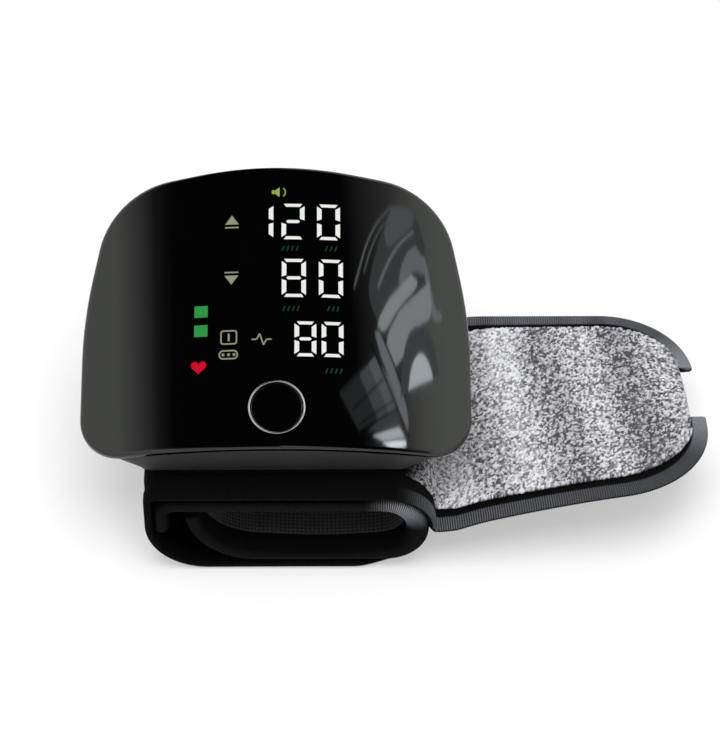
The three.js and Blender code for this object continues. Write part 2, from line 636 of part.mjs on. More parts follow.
// Button, ring and switch
function buttonPieces() {
  const inner = RING_RADIUS - RING_WALL;
  const ring = cut(
    bar('z', RING_RADIUS, -RING_DEPTH, REACH, BUTTON_U, BUTTON_V),
    bar('z', inner, -REACH, 2 * REACH, BUTTON_U, BUTTON_V),
  );
  piece(panel, 'button_ring', SILVER, common(ring, underDome(0)));

  const flangeTop = -(COVER_THICKNESS + BUTTON_FLANGE_SINK);
  const switchTop = -BOARD_DEPTH + FIT_GAP + SWITCH_HEIGHT;
  const stemTop = switchTop + STEM_RISE;
  const cap = join(
    bar('z', inner - SNUG_GAP, flangeTop - BUTTON_FLANGE / 2, REACH, BUTTON_U, BUTTON_V),
    bar('z', RING_RADIUS + BUTTON_SKIRT, flangeTop - BUTTON_FLANGE, flangeTop, BUTTON_U, BUTTON_V),
    bar('z', STEM_RADIUS, stemTop + SNUG_GAP, flangeTop, BUTTON_U, BUTTON_V),
  );
  const insideCase = prism(panelOutline(CASE_RIM_INSET + CASE_WALL + FIT_GAP), -REACH, REACH);
  piece(panel, 'start_button', GLOSS_BLACK, common(cap, underDome(BUTTON_RECESS), insideCase));

  const wellFloor = switchTop - SWITCH_HEIGHT / 2 - BUTTON_TRAVEL;
  const halfSwitch = SWITCH_SIZE / 2;
  const body = block(
    BUTTON_U - halfSwitch, BUTTON_U + halfSwitch, BUTTON_V - halfSwitch, BUTTON_V + halfSwitch,
    -BOARD_DEPTH + FIT_GAP, switchTop,
  );
  const well = bar('z', STEM_RADIUS + FIT_GAP, wellFloor, REACH, BUTTON_U, BUTTON_V);
  piece(panel, 'tact_switch', CHIP_BLACK, cut(body, well));
  const stemFoot = wellFloor + BUTTON_TRAVEL + SNUG_GAP;
  piece(panel, 'switch_stem', WHITE_PLASTIC, bar('z', STEM_RADIUS, stemFoot, stemTop, BUTTON_U, BUTTON_V));
}

// Display, board and what is soldered to it
function boardPieces() {
  const room = (depth) => common(
    block(DISPLAY_LEFT_U, DISPLAY_RIGHT_U, DISPLAY_NEAR_V, displayFarV, FIT_GAP - BOARD_DEPTH, REACH),
    underDome(depth),
  );
  const filmDepth = COVER_THICKNESS + LAYER_GAP;
  piece(panel, 'display_diffuser', WHITE_PLASTIC, cut(room(filmDepth), underDome(filmDepth + DIFFUSER)));
  piece(panel, 'display_block', WHITE_PLASTIC, room(filmDepth + DIFFUSER + LAYER_GAP));

  const slab = block(
    -BOARD_HALF_WIDTH, BOARD_HALF_WIDTH, BOARD_NEAR_V, boardFarV, -boardUnder, -BOARD_DEPTH,
  );
  const holes = posts.map(({ u, v }) => bar('z', BOARD_SCREW_RADIUS + SNUG_GAP, -REACH, REACH, u, v));
  const notches = bosses.map(({ x, y }) => inPanel(bar('z', BOSS_RADIUS + FIT_GAP, 0, REACH, x, y)));
  piece(panel, 'main_board', BOARD_GREEN, cut(slab, ...holes, ...notches));
  posts.forEach(({ u, v }, i) => {
    const head = -boardUnder - SNUG_GAP - BOARD_SCREW_HEAD;
    const size = [BOARD_SCREW_RADIUS, BOARD_SCREW_HEAD_RADIUS, BOARD_SCREW_HEAD, BOARD_SCREW_LENGTH];
    piece(panel, `board_screw_${i + 1}`, STEEL, screw(u, v, head, 1, ...size));
  });

  const chipTop = -boardUnder - FIT_GAP;
  const underBoard = (u, v, size, height) => block(
    u - size / 2, u + size / 2, v - size / 2, v + size / 2, chipTop - height, chipTop,
  );
  piece(panel, 'processor_chip', CHIP_BLACK, underBoard(CHIP_U, CHIP_V, CHIP_SIZE, CHIP_HEIGHT));
  piece(panel, 'pressure_sensor', WHITE_PLASTIC, underBoard(SENSOR_U, sensorV, SENSOR_SIZE, SENSOR_HEIGHT));
}

// Pump: motor can, rotor with its crank, head and diaphragm, all on one axis along X
function pumpPieces() {
  const onAxis = (radius, from, to) => bar('x', radius, from, to, pumpY, pumpZ);
  const motorEnd = PUMP_LEFT + MOTOR_LENGTH;
  const bore = SHAFT_RADIUS + FIT_GAP;
  const can = cut(
    onAxis(PUMP_RADIUS, PUMP_LEFT, motorEnd),
    onAxis(PUMP_RADIUS - PUMP_WALL, PUMP_LEFT + PUMP_WALL, REACH),
    onAxis(bore, -REACH, REACH),
  );
  piece(monitor, 'pump_motor', STEEL, can);

  const crankStart = headStart + PUMP_WALL + FIT_GAP;
  const crankEnd = crankStart + CRANK_LENGTH;
  const rotorStart = PUMP_LEFT + (MOTOR_LENGTH - ROTOR_LENGTH) / 2;
  const pinStart = crankEnd - CRANK_LENGTH / 2;
  const pinEnd = crankEnd + CRANK_PIN_LENGTH;
  const rotor = join(
    onAxis(SHAFT_RADIUS, PUMP_LEFT, crankEnd),
    onAxis(ROTOR_RADIUS, rotorStart, rotorStart + ROTOR_LENGTH),
    onAxis(CRANK_RADIUS, crankStart, crankEnd),
    bar('x', CRANK_PIN_RADIUS, pinStart, pinEnd, pumpY, pumpZ + CRANK_THROW),
  );
  piece(monitor, 'pump_rotor', STEEL, rotor);

  const innerRadius = PUMP_RADIUS - PUMP_WALL;
  const outletEnd = headEnd + OUTLET_LENGTH;
  const head = cut(
    join(onAxis(PUMP_RADIUS, headStart, headEnd), onAxis(OUTLET_RADIUS, headEnd - PUMP_WALL, outletEnd)),
    onAxis(innerRadius, headStart + PUMP_WALL, headEnd - PUMP_WALL),
    onAxis(bore, -REACH, headStart + PUMP_WALL + FIT_GAP),
    onAxis(TUBE_BORE, headEnd - 2 * PUMP_WALL, REACH),
  );
  piece(monitor, 'pump_head', CASE_GREY, head);

  const diaphragmStart = pinEnd + FIT_GAP;
  const diaphragm = onAxis(innerRadius - SNUG_GAP, diaphragmStart, diaphragmStart + DIAPHRAGM);
  piece(monitor, 'pump_diaphragm', RUBBER, diaphragm);

  const portZ = seatZ + MANIFOLD_HEIGHT / 2;
  const portX = manifoldRight + FIT_GAP;
  const turnX = portX + TUBE_SWING;
  const turnY = (pumpY + valveFront) / 2 + 2 * TUBE_RADIUS;
  const tubeX = outletEnd + FIT_GAP;
  const airway = [
    new THREE.Vector3(tubeX, pumpY, pumpZ),
    new THREE.Vector3(tubeX + 2 * TUBE_RADIUS, pumpY, pumpZ),
    new THREE.Vector3(turnX - TUBE_RADIUS, turnY, (pumpZ + portZ) / 2 + TUBE_RADIUS),
    new THREE.Vector3(turnX, valveFront, portZ + TUBE_RADIUS / 2),
    new THREE.Vector3(turnX, nippleY + 2 * TUBE_RADIUS, portZ),
    new THREE.Vector3(portX + TUBE_RADIUS, nippleY, portZ),
    new THREE.Vector3(portX, nippleY, portZ),
  ];
  piece(monitor, 'pump_tube', RUBBER, tube(airway, TUBE_RADIUS, TUBE_BORE));
}

// Manifold, valve, sensor tube and the nipple that leads down into the cuff
function airPieces() {
  const plugTop = seatZ + NIPPLE_PLUG;
  const manifoldBlock = block(
    MANIFOLD_LEFT, manifoldRight, manifoldFront, manifoldRear, seatZ, seatZ + MANIFOLD_HEIGHT,
  );
  const socket = bar('z', NIPPLE_RADIUS + FIT_GAP, 0, plugTop + FIT_GAP, nippleX, nippleY);
  piece(monitor, 'air_manifold', WHITE_PLASTIC, cut(manifoldBlock, socket));

  const valveMid = valveFront + VALVE_SIZE / 2;
  const plungerZ = seatZ + VALVE_SIZE / 2;
  const boreEnd = MANIFOLD_LEFT + PLUNGER_LENGTH - PLUNGER_NOSE + VALVE_STROKE + FIT_GAP;
  const body = cut(
    join(
      block(MANIFOLD_LEFT, manifoldRight, valveFront, valveRear, seatZ, seatZ + VALVE_SIZE),
      bar('y', VALVE_PORT_RADIUS, manifoldRear + FIT_GAP, valveMid, nippleX, seatZ + MANIFOLD_HEIGHT / 2),
    ),
    bar('x', PLUNGER_RADIUS + FIT_GAP, -REACH, boreEnd, valveMid, plungerZ),
  );
  piece(monitor, 'valve_body', CHIP_BLACK, body);
  const noseX = MANIFOLD_LEFT - PLUNGER_NOSE;
  const plunger = bar('x', PLUNGER_RADIUS, noseX, noseX + PLUNGER_LENGTH, valveMid, plungerZ);
  piece(monitor, 'valve_plunger', STEEL, plunger);

  const port = new THREE.Vector3(0, sensorV, SENSOR_TUBE_RADIUS - sensorUnder).applyMatrix4(panel.matrix);
  const tubeBar = (radius, from, to) => bar('x', radius, from, to, port.y, port.z);
  const tubeStart = SENSOR_U + SENSOR_SIZE / 2 + FIT_GAP;
  const sensorTube = cut(
    tubeBar(SENSOR_TUBE_RADIUS, tubeStart, MANIFOLD_LEFT - FIT_GAP),
    tubeBar(SENSOR_TUBE_BORE, -REACH, REACH),
  );
  piece(monitor, 'sensor_tube', RUBBER, sensorTube);

  const nippleFoot = curlTop - CURL_COVER - PREFORM - LAYER_GAP;
  const nipple = cut(
    bar('z', NIPPLE_RADIUS, nippleFoot, plugTop, nippleX, nippleY),
    bar('z', NIPPLE_BORE, 0, REACH, nippleX, nippleY),
  );
  piece(monitor, 'bladder_nipple', WHITE_PLASTIC, nipple);
}

// Battery, charging socket and speaker
function powerPieces() {
  const layer = (from, to) => block(PUMP_LEFT, batteryRight, batteryFront, batteryRear, from, to);
  piece(monitor, 'battery_pad', FOAM, layer(seatZ, seatZ + BATTERY_PAD));
  piece(monitor, 'battery_cell', FOIL, layer(batteryZ, batteryZ + BATTERY_HEIGHT));

  const half = USB_WIDTH / 2;
  const back = usbMouth - USB_DEPTH;
  const mid = usbZ + USB_HEIGHT / 2;
  const corner = USB_HEIGHT / 2 - USB_SHELL;
  const mouth = (inset) => roundedRectangle(
    usbX - half + inset, usbX + half - inset, usbZ + inset, usbZ + USB_HEIGHT - inset, corner - inset,
  );
  const can = slice(mouth(0), back, usbMouth, OUTLINE_STEPS);
  const hollow = slice(mouth(USB_SHELL), back + 2 * USB_SHELL, REACH, OUTLINE_STEPS);
  const tongueHalf = half - USB_HEIGHT / 2;
  const tongueTip = usbMouth - USB_TONGUE_SINK;
  const tongue = block(
    usbX - tongueHalf, usbX + tongueHalf, back, tongueTip, mid - USB_TONGUE / 2, mid + USB_TONGUE / 2,
  );
  piece(monitor, 'usb_socket', STEEL, join(cut(can, hollow), tongue));
  const usbBoard = block(
    usbBoardRight - USB_BOARD_WIDTH, usbBoardRight, usbBoardFront, usbBoardRear, seatZ, seatZ + USB_BOARD,
  );
  piece(monitor, 'usb_board', BOARD_GREEN, usbBoard);

  const onWall = (radius, from, to) => bar('y', radius, from, to, 0, speakerHeight);
  const speaker = cut(
    join(
      onWall(SPEAKER_RADIUS, -FIT_GAP - SPEAKER_RIM, -FIT_GAP),
      onWall(SPEAKER_MAGNET_RADIUS, speakerInner, -FIT_GAP - SPEAKER_RIM / 2),
    ),
    onWall(SPEAKER_CONE_RADIUS, -FIT_GAP - SPEAKER_CONE, REACH),
  );
  piece(speakerSeat, 'speaker', CHIP_BLACK, speaker);
}

// Leads: each leaves its piece straight, bends up and ends under the board
function leadPieces() {
  const lead = (name, start, away) => {
    const foot = start.clone().addScaledVector(away, LEAD_BEND);
    const points = [
      start,
      start.clone().addScaledVector(away, LEAD_BEND / 2),
      new THREE.Vector3(foot.x, foot.y, foot.z + LEAD_BEND),
      new THREE.Vector3(foot.x, foot.y, ceilingZ(foot.y - LEAD_RADIUS)),
    ];
    piece(monitor, name, RUBBER, tube(points, LEAD_RADIUS));
  };
  const toRight = new THREE.Vector3(1, 0, 0);
  const toFront = new THREE.Vector3(0, -1, 0);
  const toRear = new THREE.Vector3(0, 1, 0);
  const cellX = batteryRight + FIT_GAP;
  const cellZ = batteryZ + BATTERY_HEIGHT / 2;
  lead('battery_lead', new THREE.Vector3(cellX, batteryRear - LEAD_INSET, cellZ), toRight);
  const valveX = manifoldRight - LEAD_INSET - LEAD_RADIUS;
  lead('valve_lead', new THREE.Vector3(valveX, valveRear + FIT_GAP, seatZ + VALVE_SIZE / 2), toRear);
  const usbLeadX = usbBoardRight - LEAD_INSET;
  lead('charge_lead', new THREE.Vector3(usbLeadX, usbBoardFront - FIT_GAP, seatZ + USB_BOARD / 2), toFront);
  const speakerEnd = new THREE.Vector3(0, speakerInner - FIT_GAP, speakerHeight);
  lead('speaker_lead', speakerEnd.applyMatrix4(speakerSeat.matrix), toFront);

  // The motor's lead turns back to the board's left edge, because the motor's end is outside it
  const motorX = PUMP_LEFT - FIT_GAP;
  const loopX = motorX - LEAD_BEND;
  const edgeX = -BOARD_HALF_WIDTH - FIT_GAP;
  const motorZ = pumpZ + PUMP_RADIUS / 2;
  const edgeZ = ceilingZ(pumpY) + (BOARD_THICKNESS / 2 + FIT_GAP) / slopeCos;
  const loop = [
    new THREE.Vector3(motorX, pumpY, motorZ),
    new THREE.Vector3((motorX + loopX) / 2, pumpY, motorZ),
    new THREE.Vector3(loopX, pumpY, motorZ + LEAD_BEND),
    new THREE.Vector3(loopX, pumpY, edgeZ - LEAD_BEND),
    new THREE.Vector3((edgeX + loopX) / 2, pumpY, edgeZ),
    new THREE.Vector3(edgeX, pumpY, edgeZ),
  ];
  piece(monitor, 'motor_lead', RUBBER, tube(loop, LEAD_RADIUS));
}

// Screws of the case and of the retainer, and the retainer itself
function clampPieces() {
  const size = [SCREW_RADIUS, SCREW_HEAD_RADIUS, SCREW_HEAD];
  bosses.forEach(({ x, y }, i) => {
    const body = screw(x, y, baseZ + FIT_GAP, 1, ...size, CASE_SCREW_LENGTH);
    piece(monitor, `case_screw_${i + 1}`, STEEL, body);
  });
  const retainerBottom = retainerTop - RETAINER;
  const headTop = seatZ + SCREW_HEAD;
  retainerScrews.forEach(({ x, y }, i) => {
    const body = screw(x, y, headTop, -1, ...size, seatZ - retainerBottom - SNUG_GAP);
    piece(monitor, `retainer_screw_${i + 1}`, STEEL, body);
  });
  const halfWidth = RETAINER_WIDTH / 2;
  const halfDepth = RETAINER_DEPTH / 2;
  const area = roundedRectangle(-halfWidth, halfWidth, -halfDepth, halfDepth, RETAINER_CORNER);
  const plate = prism(area, retainerBottom, retainerTop);
  piece(monitor, 'cuff_retainer', WHITE_PLASTIC, cut(plate, ...clampHoles(SNUG_GAP)));
}

// Holes for the retainer's screws and for the nipple
function clampHoles(gap) {
  const radius = SCREW_RADIUS + gap;
  const screws = retainerScrews.map(({ x, y }) => bar('z', radius, LOOP_HEIGHT / 2, REACH, x, y));
  return [...screws, nippleHole()];
}

function nippleHole() {
  return bar('z', NIPPLE_RADIUS + FIT_GAP, LOOP_HEIGHT / 2, REACH, nippleX, nippleY);
}

// Outer strap: from its lower end round the left side, over the top and down the right shoulder to the tail
const shoulderRadius = LOOP_HEIGHT - curlCentreZ;
const rootTop = TAIL_ROOT_HEIGHT + STRAP_THICKNESS / 2;
const shoulderSine = (rootTop - curlCentreZ + TAIL_ROOT_BEND) / (shoulderRadius + TAIL_ROOT_BEND);
const shoulderTurn = 90 - THREE.MathUtils.radToDeg(Math.asin(shoulderSine));
const strapPath = new RibbonPath(LOOP_BOTTOM_END, 0, 180)
  .straight(LOOP_BOTTOM_END + LOOP_LEFT - LOOP_LOW_RADIUS)
  .bend(LOOP_LOW_RADIUS, 90)
  .straight(LOOP_HEIGHT - LOOP_LOW_RADIUS - LOOP_TOP_RADIUS)
  .bend(LOOP_TOP_RADIUS, 90)
  .straight(curlCentreX + LOOP_LEFT - LOOP_TOP_RADIUS)
  .bend(shoulderRadius, shoulderTurn)
  .bend(TAIL_ROOT_BEND, -shoulderTurn);
const bendX = strapPath.at.x + FIT_GAP + STRAP_THICKNESS / 2; // line on which the tail bends

// Curl: up the left wall, over the top, round the right end, back along the table and up into the inner flap
const curlPath = new RibbonPath(curlLeft, CURL_START_HEIGHT, 90)
  .straight(curlTop - CURL_TOP_RADIUS - CURL_START_HEIGHT)
  .bend(CURL_TOP_RADIUS, 90)
  .straight(curlCentreX - curlLeft - CURL_TOP_RADIUS)
  .bend(curlRadius, 180)
  .straight(curlCentreX + FLAP_START)
  .bend(FLAP_RADIUS, FLAP_ANGLE);

function cuffPieces() {
  const edges = { front: [-halfCuff, BINDING_WIDTH - halfCuff], rear: [halfCuff - BINDING_WIDTH, halfCuff] };
  const strap = strapPath.strip(0, STRAP_THICKNESS, -clothHalf, clothHalf);
  piece(monitor, 'outer_strap', PILE_GREY, cut(strap, ...clampHoles(FIT_GAP)));
  const plyHalf = clothHalf - PLY_INSET;
  const preformDepth = CURL_COVER + LAYER_GAP;
  const bladderDepth = preformDepth + PREFORM + LAYER_GAP;
  const liningDepth = bladderDepth + BLADDER + LAYER_GAP;
  const cover = curlPath.strip(0, CURL_COVER, -clothHalf, clothHalf);
  piece(monitor, 'curl_cover', SLEEVE_BLACK, cut(cover, nippleHole()));
  const preform = curlPath.strip(preformDepth, preformDepth + PREFORM, -plyHalf, plyHalf);
  piece(monitor, 'preform_sheet', CLEAR_SHEET, cut(preform, nippleHole()));
  const bladder = curlPath.strip(bladderDepth, bladderDepth + BLADDER, -plyHalf, plyHalf);
  piece(monitor, 'air_bladder', RUBBER, bladder);
  const lining = curlPath.strip(liningDepth, curlThickness, -clothHalf, clothHalf);
  piece(monitor, 'curl_lining', MESH_GREY, lining);
  for (const [end, [y0, y1]] of Object.entries(edges)) {
    piece(monitor, `strap_binding_${end}`, TAPE_GREY, strapPath.strip(0, BINDING_THICKNESS, y0, y1));
    piece(monitor, `curl_binding_${end}`, TAPE_GREY, curlPath.strip(0, curlThickness, y0, y1));
  }
}

// Strap tail: a sheet whose near edge lifts towards the tip
const tailLength = TAIL_END - bendX;
const tailRise = (x, y) => {
  const along = Math.min(Math.max((x - bendX) / tailLength, 0), 1);
  return TAIL_RISE * Math.sin((along * Math.PI) / 2) * ((halfCuff - y) / CUFF_WIDTH);
};

// A lifted slab of some thickness, its middle some distance above or below the strap's middle
function tailSlab(thickness, offset) {
  const margin = BINDING_WIDTH;
  const length = tailLength + margin;
  const width = CUFF_WIDTH + margin;
  const geometry = new THREE.BoxGeometry(length, width, thickness, TAIL_STEPS, TAIL_CROSS_STEPS, 1);
  geometry.translate(bendX + length / 2, 0, TAIL_ROOT_HEIGHT + offset);
  const places = geometry.attributes.position;
  for (let i = 0; i < places.count; i += 1) {
    places.setZ(i, places.getZ(i) + tailRise(places.getX(i), places.getY(i)));
  }
  return geometry;
}

function tailPieces() {
  const outline = [
    [bendX - TAIL_CORNER, -halfCuff, BINDING_WIDTH + FIT_GAP],
    [TAIL_END, TAIL_TAPER - halfCuff, TAIL_CORNER],
    [TAIL_END, halfCuff, TAIL_CORNER],
    [bendX - TAIL_CORNER, halfCuff, BINDING_WIDTH + FIT_GAP],
  ];
  const area = (inset) => prism(roundedShape(insetCorners(outline, inset)), 0, REACH);
  const cloth = common(tailSlab(STRAP_THICKNESS, 0), area(BINDING_WIDTH + LAYER_GAP));
  const nose = bar('y', STRAP_THICKNESS / 2, -clothHalf, clothHalf, bendX, TAIL_ROOT_HEIGHT);
  piece(monitor, 'strap_tail', PILE_GREY, join(cloth, nose));

  const notchHalf = TAIL_NOTCH_WIDTH / 2;
  const notch = block(
    TAIL_END - TAIL_NOTCH_DEPTH, 2 * REACH, TAIL_NOTCH_Y - notchHalf, TAIL_NOTCH_Y + notchHalf, 0, REACH,
  );
  const root = block(-REACH, bendX + TAIL_BINDING_START, -REACH, REACH, 0, REACH);
  const band = cut(common(tailSlab(BINDING_THICKNESS, 0), cut(area(0), area(BINDING_WIDTH))), notch, root);
  piece(monitor, 'tail_binding', TAPE_GREY, band);

  const hookEnd = TAIL_END - BINDING_WIDTH - HOOK_CORNER;
  const hookHalf = HOOK_WIDTH / 2;
  const hookArea = roundedRectangle(hookEnd - HOOK_LENGTH, hookEnd, -hookHalf, hookHalf, HOOK_CORNER);
  const hookDepth = STRAP_THICKNESS / 2 + LAYER_GAP + HOOK_THICKNESS / 2;
  const hooks = common(tailSlab(HOOK_THICKNESS, -hookDepth), prism(hookArea, 0, REACH));
  piece(monitor, 'hook_patch', SLEEVE_BLACK, hooks);
}

piece(panel, 'front_cover', GLOSS_BLACK, frontCover());
piece(monitor, 'rear_case', CASE_GREY, rearCase());
buttonPieces();
boardPieces();
pumpPieces();
airPieces();
powerPieces();
leadPieces();
clampPieces();
cuffPieces();
tailPieces();

export default monitor;
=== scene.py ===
"""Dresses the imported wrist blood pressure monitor: shells, display, button, cuff cloth and a studio."""

import json
import math

import bmesh
import bpy
from bpy.props import FloatProperty, FloatVectorProperty, IntProperty, PointerProperty
from mathutils import Euler, Matrix, Vector, geometry, noise
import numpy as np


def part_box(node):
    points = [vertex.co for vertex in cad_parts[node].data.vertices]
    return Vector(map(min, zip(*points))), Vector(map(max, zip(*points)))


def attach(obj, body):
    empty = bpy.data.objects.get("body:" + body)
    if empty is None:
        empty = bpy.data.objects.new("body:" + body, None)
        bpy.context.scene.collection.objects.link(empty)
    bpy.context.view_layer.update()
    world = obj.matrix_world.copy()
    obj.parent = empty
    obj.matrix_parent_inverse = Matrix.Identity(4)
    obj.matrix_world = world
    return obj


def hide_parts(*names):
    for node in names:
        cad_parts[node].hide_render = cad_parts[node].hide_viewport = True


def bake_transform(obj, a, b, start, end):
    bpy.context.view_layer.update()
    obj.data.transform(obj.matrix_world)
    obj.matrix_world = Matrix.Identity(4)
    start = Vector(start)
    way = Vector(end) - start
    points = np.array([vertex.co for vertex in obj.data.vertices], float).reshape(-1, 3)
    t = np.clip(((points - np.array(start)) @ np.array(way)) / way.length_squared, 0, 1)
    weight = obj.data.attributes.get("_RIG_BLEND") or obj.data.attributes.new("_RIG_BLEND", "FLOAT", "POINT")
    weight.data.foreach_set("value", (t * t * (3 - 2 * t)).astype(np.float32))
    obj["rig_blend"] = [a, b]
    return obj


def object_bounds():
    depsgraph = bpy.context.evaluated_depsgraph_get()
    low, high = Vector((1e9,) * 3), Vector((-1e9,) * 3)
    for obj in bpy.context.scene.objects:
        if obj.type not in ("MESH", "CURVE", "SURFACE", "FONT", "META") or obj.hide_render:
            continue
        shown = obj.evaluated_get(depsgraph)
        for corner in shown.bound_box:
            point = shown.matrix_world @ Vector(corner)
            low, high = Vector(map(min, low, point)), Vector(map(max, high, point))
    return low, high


bl_info = {
    "name": "Wrist monitor",
    "version": (1, 0, 0),
    "blender": (4, 5, 0),
    "location": "3D View > Sidebar > Monitor",
    "description": "Models the shells, display, button and cuff cloth of a wrist blood pressure monitor",
    "category": "Object",
}

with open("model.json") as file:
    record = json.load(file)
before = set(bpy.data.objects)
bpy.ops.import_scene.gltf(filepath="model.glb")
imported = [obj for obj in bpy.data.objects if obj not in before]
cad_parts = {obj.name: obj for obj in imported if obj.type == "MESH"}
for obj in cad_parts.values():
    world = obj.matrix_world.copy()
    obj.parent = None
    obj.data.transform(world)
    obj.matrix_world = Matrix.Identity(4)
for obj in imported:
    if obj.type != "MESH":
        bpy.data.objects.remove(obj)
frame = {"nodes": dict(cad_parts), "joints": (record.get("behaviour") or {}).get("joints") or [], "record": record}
cad_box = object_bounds()
joints = {joint["name"]: joint for joint in frame["joints"]}
slots = {part["node"]: part["material_slot"] for part in frame["record"]["subparts"]}

# Places that the frame gives, in metres
cover_low, cover_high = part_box("front_cover")
case_low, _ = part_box("rear_case")
strap_low, strap_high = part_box("outer_strap")
curl_low, curl_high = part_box("curl_binding_front")
_, tail_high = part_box("tail_binding")
hook_low, hook_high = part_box("hook_patch")
half_cuff = -curl_low.y
half_cloth = strap_high.y
curl_radius = (curl_high.z - curl_low.z) / 2
curl_middle = Vector((curl_high.x - curl_radius, curl_low.z + curl_radius))
tail_root = Vector(joints["tail_bend"]["pos_m"])
panel_out = -Vector(joints["button_press"]["axis"])
panel_up = Vector((0, panel_out.z, -panel_out.y))

# Distances below which two points are one, and a point lies on the dome
MERGE = 1e-7
ON_DOME = 1e-6
QUARTER = math.pi / 2


def length(name, description, default):
    """A length in metres for a property group."""
    return FloatProperty(
        name=name, description=description, default=default, precision=5, subtype="DISTANCE", unit="LENGTH"
    )


def angle(name, description, degrees):
    """An angle for a property group."""
    return FloatProperty(
        name=name, description=description, default=math.radians(degrees), subtype="ANGLE", unit="ROTATION"
    )


def colour(name, description, red, green, blue):
    """A linear colour for a property group."""
    return FloatVectorProperty(
        name=name, description=description, default=(red, green, blue), min=0, max=1, subtype="COLOR"
    )


class PanelSizes(bpy.types.PropertyGroup):
    """Sizes of the domed cover, with u across it, v up its slope and n out of it."""

    half_width: length("Half width", "From the middle to the sides", cover_high.x)
    waist: length("Waist", "Up the slope to where the sides start to run in", 0.0305)
    far_half_width: length("Far half width", "From the middle to the far corners", 0.0341)
    far_reach: length("Far corners", "Up the slope to the far corners", 0.058)
    crest: length("Crest", "Up the slope to the middle of the far edge, before rounding", 0.0629)
    near_round: length("Near rounding", "Radius of the near corners", 0.009)
    side_round: length("Side rounding", "Radius of the bend in the sides", 0.1)
    far_round: length("Far rounding", "Radius of the far corners", 0.017)
    crest_round: length("Crest rounding", "Radius of the far edge", 0.105)
    dome: length("Dome", "Radius of the cover's curve from side to side", 0.113)
    thickness: length("Thickness", "Thickness of the cover", 0.002)
    edge: length("Edge rounding", "Radius of the cover's upper edge", 0.0009)
    seam: length("Seam", "Gap between the cover and the case", 0.0003)
    strips: IntProperty(name="Strips", description="Flat strips across the dome", default=84, min=8)


class CaseSizes(bpy.types.PropertyGroup):
    """Sizes of the tub under the cover."""

    half_width: length("Base half width", "From the middle of the base to its sides", 0.0284)
    front: length("Base front", "Front of the base", -0.0246)
    rear: length("Base rear", "Rear of the base", 0.02425)
    corner: length("Base corner", "Radius of the corners of the base", 0.0035)
    inset: length("Rim inset", "From the cover's edge to the rim of the tub", 0.0008)
    wall: length("Wall", "Thickness of the walls", 0.002)
    floor: length("Floor", "Thickness of the floor", 0.0018)
    foot: length("Foot rounding", "Radius of the lower edge", 0.0008)
    hole: length("Sound hole", "Radius of a sound hole", 0.0006)
    hole_ring: length("Sound hole ring", "Radius of the ring of sound holes", 0.0024)
    gap: length("Socket gap", "Gap round the charging socket", 0.0003)
    rays: IntProperty(name="Rays", description="Points round the wall", default=180, min=24)


class ButtonSizes(bpy.types.PropertyGroup):
    """Sizes of the push button and its ring."""

    u: length("Across", "Place of the button across the panel", 0.0003)
    v: length("Up", "Place of the button up the panel", 0.0087)
    ring: length("Ring radius", "Outer radius of the ring", 0.0057)
    ring_wall: length("Ring wall", "Width of the ring's bright edge", 0.00035)
    ring_depth: length("Ring depth", "How far the ring goes into the cover", 0.0015)
    ring_rise: length("Ring rise", "How far the ring stands out of the cover", 0.00016)
    gap: length("Gap", "Gap round the ring and the button", 0.00015)
    recess: length("Recess", "How far the button's face lies below the cover", 0.00015)
    dish: length("Dish", "How far the middle of the button is hollowed", 0.00035)
    rim: length("Rim", "Radius of the button's rounded rim", 0.00025)
    flange: length("Flange", "Radius of the flange behind the cover", 0.00626)
    flange_sink: length("Flange depth", "From the cover's face to the flange", 0.0027)
    flange_thickness: length("Flange thickness", "Thickness of the flange", 0.0009)


class DisplaySizes(bpy.types.PropertyGroup):
    """Sizes of the lit digits and signs."""

    stroke: length("Stroke", "Width of an upright stroke", 0.00094)
    flat_stroke: length("Flat stroke", "Width of a level stroke", 0.00066)
    stroke_gap: length("Stroke gap", "Gap between the upper and the lower strokes of a digit", 0.0006)
    stroke_cut: length("Stroke cut", "How far the strokes stop short of a digit's corners", 0.0005)
    sign_stroke: length("Sign stroke", "Width of the lines of a sign", 0.00028)
    tick: length("Tick", "Height of the dim ticks under the digits", 0.0011)
    tick_pitch: length("Tick pitch", "Distance between the dim ticks", 0.00095)
    plate: length("Plate", "Thickness of the lit shapes", 0.00006)


